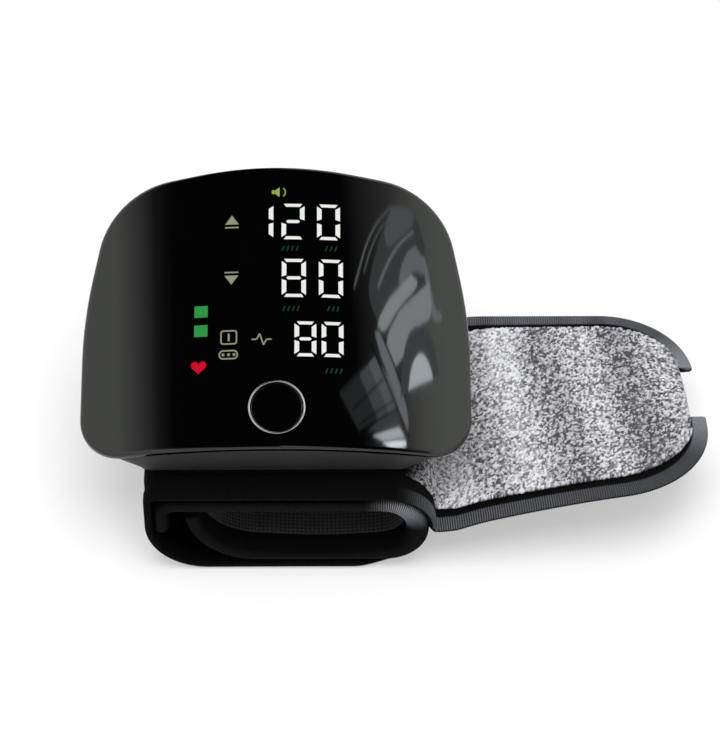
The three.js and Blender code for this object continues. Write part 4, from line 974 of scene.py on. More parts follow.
def crest(distance, cuff):
    """One on the crest of a rib of the tape, and nought between two ribs."""
    return (1 + math.cos(2 * math.pi * distance / cuff.rib)) / 2


def ribbed(point, distance, cuff):
    """A point of the tape's profile, sunk between the ribs that run across it."""
    across, height, out_across, out_height = point
    sink = cuff.rib_height * (crest(distance, cuff) - 1)
    return across + out_across * sink, height + out_height * sink


# Display shapes
SEGMENTS = {"0": "abcdef", "1": "bc", "2": "abged", "8": "abcdefg"}


def add_polygon(bm, points):
    bm.faces.new([bm.verts.new((u, v, 0)) for u, v in points])


def add_bar(bm, u, v, width, height):
    """A level or upright bar about its middle."""
    across, up = width / 2, height / 2
    add_polygon(bm, [(u - across, v - up), (u + across, v - up), (u + across, v + up), (u - across, v + up)])


def add_stroke(bm, start, end, width):
    """A slanted bar between two points."""
    side = (end - start).orthogonal().normalized() * width / 2
    add_polygon(bm, [start - side, end - side, end + side, start + side])


def add_strokes(bm, spots, width):
    """Slanted bars from each point of a line to the next."""
    for start, end in zip(spots, spots[1:]):
        add_stroke(bm, start, end, width)


def add_digit(bm, digit, u, v, width, height, display):
    """A digit of seven strokes with mitred ends, about its middle."""
    outer, top = width / 2, height / 2
    inner, low = outer - display.stroke, top - display.flat_stroke
    cut, gap, half = display.stroke_cut, display.stroke_gap / 2, display.flat_stroke / 2
    flat = [(cut - outer, top), (outer - cut, top), (inner, low), (-inner, low)]
    upright = [(outer, gap), (outer, top - cut), (inner, low - cut), (inner, gap + half)]
    bar = [(-inner, 0), (half - inner, -half), (inner - half, -half), (inner, 0)]
    bar += [(inner - half, half), (half - inner, half)]
    strokes = {
        "a": (flat, 1, 1), "d": (flat, 1, -1), "g": (bar, 1, 1),
        "b": (upright, 1, 1), "c": (upright, 1, -1), "e": (upright, -1, -1), "f": (upright, -1, 1),
    }
    for name in SEGMENTS[digit]:
        shape, right, up = strokes[name]
        add_polygon(bm, [(u + right * a, v + up * b) for a, b in shape])


def add_outline(bm, corners, width):
    """A closed line of one width."""
    bridge(bm, [add_loop(bm, rounded_outline(corners, inset, 5), 0) for inset in (0, width)])


def add_heart(bm, u, v, width):
    """A heart: two half rounds over a point."""
    points = []
    for turn in arc(2 * math.pi, 40)[:-1]:
        across = math.sin(turn) ** 3
        up = 13 * math.cos(turn) - 5 * math.cos(2 * turn) - 2 * math.cos(3 * turn) - math.cos(4 * turn)
        points.append((u - across * width / 2, v + up / 16 * width / 2))
    add_polygon(bm, points)


def softened(points):
    """Rounds the corners of a line of points, but for its ends, by cutting them twice."""
    for _ in range(2):
        pairs = zip(points, points[1:])
        cut = [point.lerp(after, share) for point, after in pairs for share in (0.25, 0.75)]
        points = [points[0], *cut, points[-1]]
    return points


def streak(points, width):
    """The corners of a narrow band along a line of points."""
    line = [Vector(point) for point in points]
    ends = [line[0], *line, line[-1]]
    sides = [(after - before).orthogonal().normalized() * width / 2 for before, after in zip(ends, ends[2:])]
    left = [point + side for point, side in zip(line, sides)]
    return left + [point - side for point, side in reversed(list(zip(line, sides)))]


def raised(bm, dome, plate):
    """Gives flat shapes their thickness and lays them on the dome."""
    bmesh.ops.recalc_face_normals(bm, faces=bm.faces)
    made = bmesh.ops.extrude_face_region(bm, geom=bm.faces[:], use_keep_orig=True)
    upper = [part for part in made["geom"] if isinstance(part, bmesh.types.BMVert)]
    bmesh.ops.translate(bm, verts=upper, vec=(0, 0, plate))
    bmesh.ops.recalc_face_normals(bm, faces=bm.faces)
    dome.lay(bm)
    return bm


# Operators
class MONITOR_OT_cover(bpy.types.Operator):
    """Adds the polished cover with its rounded edge and the hole for the button"""

    bl_idname = "monitor.cover"
    bl_label = "Cover"

    def execute(self, context):
        sizes = context.scene.monitor_panel
        button = context.scene.monitor_button
        dome = Dome(sizes)
        bm = bmesh.new()
        quarter = arc(QUARTER, 5)
        edge, low = sizes.edge, sizes.edge / 2
        upper = [(edge * (1 - math.sin(turn)), edge * (math.cos(turn) - 1)) for turn in quarter]
        lower = [
            (low * (1 - math.cos(turn)), low * (1 - math.sin(turn)) - sizes.thickness) for turn in quarter
        ]
        loops = [add_loop(bm, dome.outline(inset), height) for inset, height in upper + lower]
        bridge(bm, loops)
        hole = round_points(Vector((button.u, button.v)), button.ring + button.gap / 2, 72)
        holes = [add_loop(bm, hole, height) for height in (0, -sizes.thickness)]
        bridge(bm, holes)
        bmesh.ops.triangle_fill(bm, edges=loops[0] + holes[0], use_beauty=True, normal=(0, 0, 1))
        bmesh.ops.triangle_fill(bm, edges=loops[-1] + holes[1], use_beauty=True, normal=(0, 0, -1))
        slice_along_u(bm, sizes.half_width, sizes.strips)
        bmesh.ops.recalc_face_normals(bm, faces=bm.faces)
        dome.lay(bm)
        piece = add_piece("dome_cover", bm, "gloss_black", "monitor", ["front_cover"])
        dome.polish(piece.data)
        return {"FINISHED"}


class MONITOR_OT_case(bpy.types.Operator):
    """Adds the tub under the cover, with its charging port and sound holes"""

    bl_idname = "monitor.case"
    bl_label = "Case"

    def execute(self, context):
        panel = context.scene.monitor_panel
        sizes = context.scene.monitor_case
        dome = Dome(panel)
        base = box_corners(-sizes.half_width, sizes.half_width, sizes.front, sizes.rear, sizes.corner)
        middle = Vector((0, (sizes.front + sizes.rear) / 2))

        def base_ring(inset, height):
            points = on_rays(rounded_outline(base, inset, 8), middle, sizes.rays)
            return [Vector((point.x, point.y, case_low.z + height)) for point in points]

        def rim_ring(inset, depth):
            points = on_rays(dome.outline(sizes.inset + inset), Vector((0, panel.crest / 2)), sizes.rays)
            return [dome.spot(point.x, point.y, -depth) for point in points]

        depth = panel.thickness + panel.seam
        foot = [(1 - math.sin(turn), 1 - math.cos(turn)) for turn in arc(QUARTER, 4)]
        rings = [base_ring(sizes.foot * inset, sizes.foot * height) for inset, height in foot]
        outer_wall = slice(len(rings) - 1, len(rings) + 1)
        rings += [rim_ring(0, depth), rim_ring(sizes.wall, depth), base_ring(sizes.wall, sizes.floor)]

        def place(station, point):
            return rings[round(station)][point[0]]

        bm, _ = swept([(ray, 0) for ray in range(sizes.rays)], list(range(len(rings))), place)
        shell = add_piece("rear_shell", bm, "case_grey", "monitor", ["rear_case"], crease=50)
        back = sizes.rays // 4
        self.pierce(shell, sizes, *(ring[back] for ring in rings[outer_wall]))
        return {"FINISHED"}

    @staticmethod
    def pierce(shell, sizes, foot, rim):
        """Cuts the charging port and the sound holes through the back wall."""
        cutter = bmesh.new()
        low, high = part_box("usb_socket")
        corners = box_corners(low.x, high.x, low.z, high.z, (high.z - low.z) / 2 - sizes.gap)
        outline = rounded_outline(corners, -sizes.gap, 6)
        loops = [add_loop(cutter, outline, -place) for place in ((low.y + high.y) / 2, high.y + sizes.wall)]
        bridge(cutter, loops)
        bmesh.ops.holes_fill(cutter, edges=cutter.edges, sides=0)
        for vert in cutter.verts:
            vert.co = (vert.co.x, -vert.co.z, vert.co.y)
        low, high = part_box("speaker")
        middle = (low + high) / 2
        up_wall = (rim - foot).normalized()
        through = Vector((1, 0, 0)).cross(up_wall)
        turn_out = through.to_track_quat("Z", "Y").to_matrix().to_4x4()
        # One sound hole in the middle and six round it
        for index in range(7):
            turn = 2 * math.pi * index / 6
            spread = sizes.hole_ring if index else 0.0
            place = middle + Vector((1, 0, 0)) * spread * math.cos(turn) + up_wall * spread * math.sin(turn)
            made = bmesh.ops.create_cone(
                cutter, cap_ends=True, segments=16, radius1=sizes.hole, radius2=sizes.hole,
                depth=6 * sizes.wall,
            )
            bmesh.ops.transform(cutter, matrix=turn_out, verts=made["verts"])
            bmesh.ops.translate(cutter, vec=place, verts=made["verts"])
        bmesh.ops.recalc_face_normals(cutter, faces=cutter.faces)
        tool = linked("port_cutter", mesh_of("port_cutter", cutter))
        modifier = shell.modifiers.new("Ports", "BOOLEAN")
        modifier.operation = "DIFFERENCE"
        modifier.solver = "EXACT"
        modifier.object = tool
        pierced = bpy.data.meshes.new_from_object(shell.evaluated_get(bpy.context.evaluated_depsgraph_get()))
        shell.modifiers.clear()
        shell.data = pierced
        bpy.data.objects.remove(tool)


class MONITOR_OT_button(bpy.types.Operator):
    """Adds the plated ring and the dished push button"""

    bl_idname = "monitor.button"
    bl_label = "Button"

    def execute(self, context):
        sizes = context.scene.monitor_button
        dome = Dome(context.scene.monitor_panel)
        inner = sizes.ring - sizes.ring_wall
        half = sizes.ring_wall / 2
        crown = arc(math.pi, 8)
        edge = [(inner + half + half * math.cos(turn), sizes.ring_rise * math.sin(turn)) for turn in crown]
        ring = [(sizes.ring, -sizes.ring_depth), *edge, (inner, -sizes.ring_depth)]
        bm = turned([*ring, ring[0]], sizes.u, sizes.v, 128)
        dome.lay(bm)
        add_piece("ring_plated", bm, "ring_silver", "monitor", ["button_ring"])

        radius = inner - sizes.gap
        rim = sizes.rim
        hollow = [(radius - 2 * rim) * share / 10 for share in range(11)]
        face = [(r, -sizes.recess - sizes.dish * (1 - (r / hollow[-1]) ** 2) ** 1.5) for r in hollow]
        for turn in arc(QUARTER, 4):
            face.append((radius - rim + rim * math.sin(turn), -sizes.recess - rim + rim * math.cos(turn)))
        top = -sizes.flange_sink
        under = top - sizes.flange_thickness
        skirt = [(radius, top), (sizes.flange, top), (sizes.flange, under), (0, under)]
        bm = turned(face + skirt, sizes.u, sizes.v, 96)
        dome.lay(bm)
        add_piece("button_cap", bm, "gloss_black", "button", ["start_button"], crease=55)
        return {"FINISHED"}


class MONITOR_OT_display(bpy.types.Operator):
    """Adds the lit digits, signs and marks that show through the cover"""

    bl_idname = "monitor.display"
    bl_label = "Display"

    # Each row of digits: its place up the panel, a digit's width and height, and each digit's place across
    rows = [
        (0.0493, 0.0047, 0.00795, [("1", -0.0029), ("2", 0.00346), ("0", 0.0107)]),
        (0.03674, 0.0049, 0.0084, [("8", 0.00365), ("0", 0.01115)]),
        (0.0234, 0.0044, 0.0076, [("8", 0.006), ("0", 0.01145)]),
    ]
    # Each group of dim ticks: its place across and up the panel, and how many there are
    ticks = [
        (0.0029, 0.0433, 4), (0.0112, 0.0434, 3), (0.0031, 0.03, 4), (0.0116, 0.0301, 3),
        (0.0117, 0.0166, 4),
    ]

    def execute(self, context):
        self.sizes = context.scene.monitor_display
        dome = Dome(context.scene.monitor_panel)
        tints = context.scene.monitor_colours
        sets = [
            ("digits", self.add_digits, tints.digits, 1.0),
            ("signs", self.add_signs, tints.labels, 0.9),
            ("units", self.add_units, tints.units, 1.0),
            ("squares", self.add_squares, tints.green, 1.0),
            ("heart", self.add_pulse, tints.heart, 1.0),
            ("sound", self.add_sound, tints.sound, 0.9),
        ]
        for kind, draw, shade, strength in sets:
            bm = bmesh.new()
            draw(bm)
            name = "display_" + kind
            light = lit_finish(name + "_light", shade, strength)
            add_piece(name, raised(bm, dome, self.sizes.plate), "gloss_black", "monitor", material=light)
        return {"FINISHED"}

    def add_digits(self, bm):
        for v, width, height, digits in self.rows:
            for digit, u in digits:
                add_digit(bm, digit, u, v, width, height, self.sizes)

    def add_signs(self, bm):
        """Plain signs: upper value, lower value, pulse, stored reading and mean of three readings."""
        line = self.sizes.sign_stroke
        for v, way in ((0.0496, 1), (0.0366, -1)):
            points = [(-0.0104, v - way * 0.0008), (-0.0076, v - way * 0.0008), (-0.009, v + way * 0.0012)]
            add_polygon(bm, points)
            add_bar(bm, -0.009, v - way * 0.0015, 0.0028, line)
        beat = [
            (-0.0048, 0), (-0.0038, 0), (-0.0032, 0.0012), (-0.0024, -0.0012), (-0.0018, 0), (-0.0008, 0),
        ]
        add_strokes(bm, [Vector((u, 0.0233 + v)) for u, v in beat], line)
        add_outline(bm, box_corners(-0.0111, -0.0077, 0.0223, 0.0254, 0.0006), line)
        add_bar(bm, -0.0094, 0.02385, 1.4 * line, 0.0016)
        add_outline(bm, box_corners(-0.0114, -0.0075, 0.0191, 0.0211, 0.0009), line)
        for u in (-0.0105, -0.0094, -0.0083):
            add_polygon(bm, round_points(Vector((u, 0.0201)), 0.0003, 16))

    def add_units(self, bm):
        """Dim ticks in the places of the units."""
        half = Vector((self.sizes.tick / 6, self.sizes.tick / 2))
        for u, v, count in self.ticks:
            for index in range(count):
                middle = Vector((u + (index - (count - 1) / 2) * self.sizes.tick_pitch, v))
                add_stroke(bm, middle - half, middle + half, self.sizes.sign_stroke)

    def add_squares(self, bm):
        for v in (0.0297, 0.0255):
            add_bar(bm, -0.01505, v, 0.0027, 0.0025)

    def add_pulse(self, bm):
        add_heart(bm, -0.0154, 0.0177, 0.0031)

    def add_sound(self, bm):
        """A small speaker with one wave."""
        u, v = 0.0005, 0.0559
        add_bar(bm, u - 0.0011, v, 0.0006, 0.0008)
        horn = [(-0.0007, -0.0004), (0.0002, -0.0011), (0.0002, 0.0011), (-0.0007, 0.0004)]
        add_polygon(bm, [(u + a, v + b) for a, b in horn])
        turns = [math.radians(degrees) for degrees in (-50, -25, 0, 25, 50)]
        wave = [Vector((u + 0.0002, v)) + direction(turn) * 0.0012 for turn in turns]
        add_strokes(bm, wave, self.sizes.sign_stroke * 0.8)


# Grid of the strap's cloth: columns over its face and its back, and steps along the loop and along the pile
FACE_COLUMNS = 228
BACK_COLUMNS = 8
LOOP_STEP = 0.0014
PILE_STEP = 0.00024
# Fray of the cloth's sides, as a share of half its width, and the size of its waves
FRAY = 0.012
FRAY_WAVE = 0.0009
# Reach of the bend to each side of the tail's root, in thicknesses of the strap
ROOT_BEND = 2.2
# Tufts: squeeze across the strap, how fast they fall off, how their own shades are drawn, size of a clump
TUFT_SQUEEZE = 0.75
TUFT_FALL = 1.1
TUFT_DRAW = 5.3
TUFT_SHIFT = Vector((0.37, 0.11, 0.71))
CLUMP = 0.0021
# Height and shade of a tuft: a base, then weights of its crown, of its own draw and of its clump
TUFT_HEIGHT = (0.35, 0.55, 0.25, 0.18)
TUFT_SHADE = (0.01, 0.22, 0.72, 0.03)
LEAST_SHADE = 0.16
# Bands of painted shade across the pile, where the cloth undulates: their slant, where one starts and how far they
# shade it
BAND_SLANT = 0.14
BAND_START = 0.046
BAND_PAINTED_SHADE = 0.14
# From its plain place the pile darkens to the tip, and is painted paler to the root for a run, with a paler patch
# in it, against the case's shadow
PLAIN_PLACE = 0.053
PALING = 4
PALING_RUN = 0.008
PATCH_PALING = 10
PATCH_RUN = 0.018
# Shade of the strap's tapes between ribs and on them, and how far both change from the root to the tip
GROOVE = 0.02
GROOVE_GAIN = 0.08
RIB = 0.34
RIB_LOSS = 0.27
# Wear at the tip, and an even and a mottled shade along the rear tape
TIP_SHADE = 0.42
REAR_SHADE = 0.08
MOTTLE_SHADE = 0.1
MOTTLE = 0.004


def weighted(weights, *parts):
    """A base, which comes first in the weights, and the sum of the parts by the other weights."""
    return weights[0] + sum(weight * part for weight, part in zip(weights[1:], parts))


class MONITOR_OT_strap(bpy.types.Operator):
    """Adds the pile strap with its tail, the ribbed tapes along it and the hooks under its tip"""

    bl_idname = "monitor.strap"
    bl_label = "Strap"

    def execute(self, context):
        self.cuff = context.scene.monitor_cuff
        self.tail = context.scene.monitor_tail
        self.strap = Strap(self.cuff, self.tail)
        self.add_pile()
        for side, name in ((-1, "front"), (1, "rear")):
            self.add_tape(side, name)
        self.add_hooks()
        return {"FINISHED"}

    def bend_at_root(self, piece):
        """Lets a piece bend with the tail's joint."""
        reach = Vector((ROOT_BEND * self.cuff.strap, 0, 0))
        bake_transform(piece, "monitor", "tail", start=tail_root - reach, end=tail_root + reach)

    def add_pile(self):
        strap = self.strap
        face = [(2 * step / FACE_COLUMNS - 1, 0.0) for step in range(FACE_COLUMNS + 1)]
        back = [(1 - 2 * step / BACK_COLUMNS, -self.cuff.strap) for step in range(BACK_COLUMNS + 1)]
        pile_start = strap.loop.length - self.cuff.pile_start
        stations = spaced(0, pile_start, LOOP_STEP)[:-1]
        stations += spaced(pile_start, self.tip_of_cloth(), PILE_STEP)

        def place(distance, point):
            side = abs(point[0]) == 1
            ragged = FRAY * noise.noise((distance / FRAY_WAVE, point[0], 0)) if side else 0.0
            return strap.cloth_spot(distance, point[0] * (1 + ragged), point[1])

        def shade(distance, point):
            # The fade in over the shoulder is partly painted shadow of the case
            return strap.worn(distance) if point[1] >= 0 else 0.0

        girth = 2 * half_cloth * len(face + back) / FACE_COLUMNS
        bm, upper = swept(face + back, stations, place, girth, shade)
        self.raise_pile(bm, upper)
        piece = add_piece("pile_strap", bm, "pile_cloth", None, ["outer_strap", "strap_tail"], crease=180)
        self.bend_at_root(piece)

    def tip_of_cloth(self):
        """Distance along the strap to where the cloth ends in the notch."""
        return self.strap.loop.length + self.strap.tip - self.tail.notch_depth - self.strap.loop.end.x

    def raise_pile(self, bm, upper):
        """Raises each tuft of the pile and gives it its own shade, with painted shading added."""
        layer = bm.verts.layers.float["fleck"]
        bm.normal_update()
        moves = []
        for vert in upper:
            crown, own = self.tuft_at(vert.co)
            clump = noise.noise(vert.co / CLUMP)
            height = self.tail.pile * weighted(TUFT_HEIGHT, crown, own, clump) * vert[layer]
            moves.append((vert, vert.normal * height))
            paleness = weighted(TUFT_SHADE, crown, eased(own), clump) + self.painted_shading_at(vert.co)
            vert[layer] *= max(LEAST_SHADE, paleness)
        for vert, move in moves:
            vert.co += move

    def tuft_at(self, spot):
        """How near a place is to the middle of its tuft, and the tuft's own draw, both up to one."""
        squeezed = Vector((spot.x, spot.y * TUFT_SQUEEZE, spot.z)) / self.tail.tuft
        distances, points = noise.voronoi(squeezed)
        own = (noise.cell(points[0] * TUFT_DRAW + TUFT_SHIFT) + 1) / 2
        return max(0.0, 1 - distances[0] * TUFT_FALL), own

    def painted_shading_at(self, spot):
        """How much paler the pile is at a place: bands of painted shade, darker towards the tip, and painted light
        near the root.
        """
        band = math.sin(2 * math.pi * (spot.x + BAND_SLANT * spot.y - BAND_START) / self.tail.band)
        back = PLAIN_PLACE - spot.x
        patch = max(0, min(back, PATCH_RUN - back))
        return BAND_PAINTED_SHADE * band + PALING * min(back, PALING_RUN) + PATCH_PALING * patch

    def add_tape(self, side, name):
        strap, cuff = self.strap, self.cuff
        line = strap.edge_line(side)
        profile = with_normals(tape_profile(cuff.tape_width, cuff.strap_tape))
        stations = spaced(0, strap.loop.length + line.length, cuff.rib / 5)

        def place(distance, point):
            return strap.edge_spot(side, line, distance, *ribbed(point, distance, cuff))

        def shade(distance, point):
            """Worn ribs, lighter near the root and pale at the tip; painted shadow blacks the fold's underside and
            fades them in at the shoulder.
            """
            # Painted shadow: the fold's underside stays black
            if point[0] > RIBBED * cuff.tape_width or point[1] < -FOLD_SHOWN * cuff.strap_tape:
                return 0.0
            dull = eased((distance - strap.loop.length) / (strap.tip - strap.loop.end.x))
            rib = GROOVE + GROOVE_GAIN * dull + (RIB - RIB_LOSS * dull) * crest(distance, cuff)
            rib += TIP_SHADE * eased(1 - (strap.loop.length + line.length - distance) / cuff.tip_wear)
            if side > 0:
                rib += REAR_SHADE + MOTTLE_SHADE * noise.noise((distance / MOTTLE, 0.0, 0.0))
            return strap.worn(distance) * max(0.0, rib)

        bm, _ = swept(profile, stations, place, shade=shade)
        stands_for = ["strap_binding_" + name] + (["tail_binding"] if side < 0 else [])
        piece = add_piece("strap_tape_" + name, bm, "edge_tape", None, stands_for, crease=180)
        self.bend_at_root(piece)

    def add_hooks(self):
        """The backing of the hooks under the tail, and the hooks on it."""
        strap, tail = self.strap, self.tail
        top = -self.cuff.strap - tail.hook_gap
        below = top - tail.hook_backing
        half_width = (hook_high.x - hook_low.x) / 2
        middle = (hook_low + hook_high) / 2
        bm = bmesh.new()
        corners = box_corners(-half_width, half_width, hook_low.y, hook_high.y, tail.hook_corner)
        loops = [add_loop(bm, rounded_outline(corners, 0, 6), height) for height in (top, below)]
        bridge(bm, loops)
        for loop in loops:
            bmesh.ops.triangle_fill(bm, edges=loop, use_beauty=True)
        slice_along_u(bm, half_width, 24)
        inner = rounded_outline(corners, tail.hook_pitch, 6)
        for u in spaced(-half_width + tail.hook_pitch, half_width - tail.hook_pitch, tail.hook_pitch):
            for v in spaced(hook_low.y + tail.hook_pitch, hook_high.y - tail.hook_pitch, tail.hook_pitch):
                corner = abs(u) > half_width - tail.hook_corner and abs(v) > hook_high.y - tail.hook_corner
                if corner and min((point - Vector((u, v))).length for point in inner) < tail.hook_pitch:
                    continue
                made = bmesh.ops.create_cone(
                    bm, cap_ends=True, segments=5, radius1=tail.hook_tip, radius2=tail.hook_root,
                    depth=tail.hook,
                )
                bmesh.ops.translate(bm, vec=(u, v, below - tail.hook / 2), verts=made["verts"])
        for vert in bm.verts:
            vert.co = strap.tail_spot(middle.x + vert.co.x, vert.co.y, vert.co.z)
        bmesh.ops.recalc_face_normals(bm, faces=bm.faces)
        add_piece("hook_pad", bm, "sleeve_cloth", "tail", ["hook_patch"])


# Sleeve: step along its cloth, and on its tapes the fold's share of the width, shade of ribs, painted highlight of
# fold
SLEEVE_STEP = 0.0007
FOLD_REACH = 0.12
SLEEVE_RIB = 0.004
SLEEVE_FOLD_HIGHLIGHT = 0.007


class MONITOR_OT_sleeve(bpy.types.Operator):
    """Adds the sleeve that curls round the wrist: outer cloth, bladder, lining and its tapes"""

    bl_idname = "monitor.sleeve"
    bl_label = "Sleeve"

    def execute(self, context):
        cuff = context.scene.monitor_cuff
        trail = curl_trail(cuff)
        half = half_cloth + cuff.overlap
        # The path's fourth run goes round the right bend, and its fifth along the floor
        bend_start, floor_start = (run[0] for run in trail.runs[3:5])
        shoulder = bend_start + curl_radius / 2
        bend_middle = bend_start + curl_radius * QUARTER
        floor_middle = floor_start + (curl_middle.x + cuff.flap_start) / 2

        def fullness(distance):
            """How full the padding is: more round the bend, less underneath."""
            bend = 1 - eased(abs(distance - bend_middle) / (2 * curl_radius))
            floor = 1 - eased(abs(distance - floor_middle) / (2 * curl_radius))
            return 1 + cuff.fuller * bend - cuff.slacker * floor

        def spot(distance, across, depth):
            point, right = trail.spot(distance)
            padding = max(0.0, depth - cuff.bladder_from)
            point = point + right * (depth + padding * (fullness(distance) - 1))
            return Vector((point.x, across, point.y))

        def strip(start, end, depth, columns=16):
            """A flat strip of cloth; depth gives its upper and lower faces at a distance."""
            face = [(half * (2 * step / columns - 1), 0.0) for step in range(columns + 1)]
            back = [(across, -1.0) for across, _ in reversed(face)]

            def place(distance, point):
                upper, lower = depth(distance)
                return spot(distance, point[0], upper if point[1] >= 0 else lower)

            return swept(face + back, spaced(start, end, SLEEVE_STEP), place, girth=4 * half)[0]

        def cover_depth(distance):
            hemmed = min(distance, trail.length - distance) < cuff.hem
            return 0.0, cuff.curl_tape if hemmed else cuff.cover

        def bladder_depth(distance):
            swell = math.sin(math.pi * distance / trail.length) ** 0.4
            thin = (cuff.bladder_to - cuff.bladder_from) * (1 - swell) / 2
            return cuff.bladder_from + thin, cuff.bladder_to - thin

        bm = strip(0, trail.length, cover_depth)
        add_piece("sleeve_outer", bm, "sleeve_cloth", "monitor", ["curl_cover"])
        bm = strip(cuff.hem, trail.length - cuff.hem, lambda _: (cuff.lining_from, cuff.lining_to))
        add_piece("sleeve_lining", bm, "mesh_cloth", "monitor", ["curl_lining"])
        bm = strip(cuff.hem, trail.length - cuff.hem, bladder_depth)
        bladder = add_piece("bladder_pouch", bm, "soft_rubber", "monitor", ["air_bladder"])

        def shade(distance, point):
            """Ribs lit on the right shoulder by a painted highlight, and a painted highlight along the fold."""
            # Painted highlight on the ribs round the right shoulder, where light catches the tape
            wear_and_highlight = 1 - eased(abs(distance - shoulder) / curl_radius)
            # Painted highlight along the fold's outer edge
            fold = max(0.0, 1 - point[0] / (FOLD_REACH * cuff.tape_width))
            return (SLEEVE_RIB + wear_and_highlight) * crest(distance, cuff) + SLEEVE_FOLD_HIGHLIGHT * fold

        profile = with_normals(tape_profile(cuff.tape_width, cuff.curl_tape))
        stations = spaced(0, trail.length, cuff.rib / 5)
        for side, name in ((-1, "front"), (1, "rear")):
            def place(distance, point, side=side):
                across, height = ribbed(point, distance, cuff)
                return spot(distance, side * (half_cuff + cuff.proud - across), -height)

            bm, _ = swept(profile, stations, place, shade=shade)
            stands_for = ["curl_binding_" + name]
            add_piece("sleeve_tape_" + name, bm, "edge_tape", "monitor", stands_for, crease=180)
        return {"FINISHED"}


class MONITOR_OT_inner_finishes(bpy.types.Operator):
    """Gives the carried-over nodes their finishes"""

    bl_idname = "monitor.inner_finishes"
    bl_label = "Inner finishes"

    def execute(self, context):
        for name, node in frame["nodes"].items():
            node.data.materials.clear()
            node.data.materials.append(finish_for(slots[name]))
        return {"FINISHED"}


# Ceiling that the cover mirrors: brightness at places from left to right, tint, and slant of its right half
CEILING = [
    (0.24, 1.35), (0.2825, 1.3), (0.317, 0.7), (0.346, 0.13), (0.368, 0.01), (0.38, 0.0),
    (0.6, 0.0), (0.66, 0.5), (0.7, 1.3), (0.74, 1.6),
]
CEILING_TINT = (0.96, 1.0, 0.95)
SLANT = 0.45
SLANT_FROM = 0.02
# Window that the cover mirrors: tint, drop below the ceiling, and drop of each pane below the one before
WINDOW_TINT = (0.93, 1.0, 1.05)
WINDOW_DROP = 0.001
PANE_DROP = 0.0002


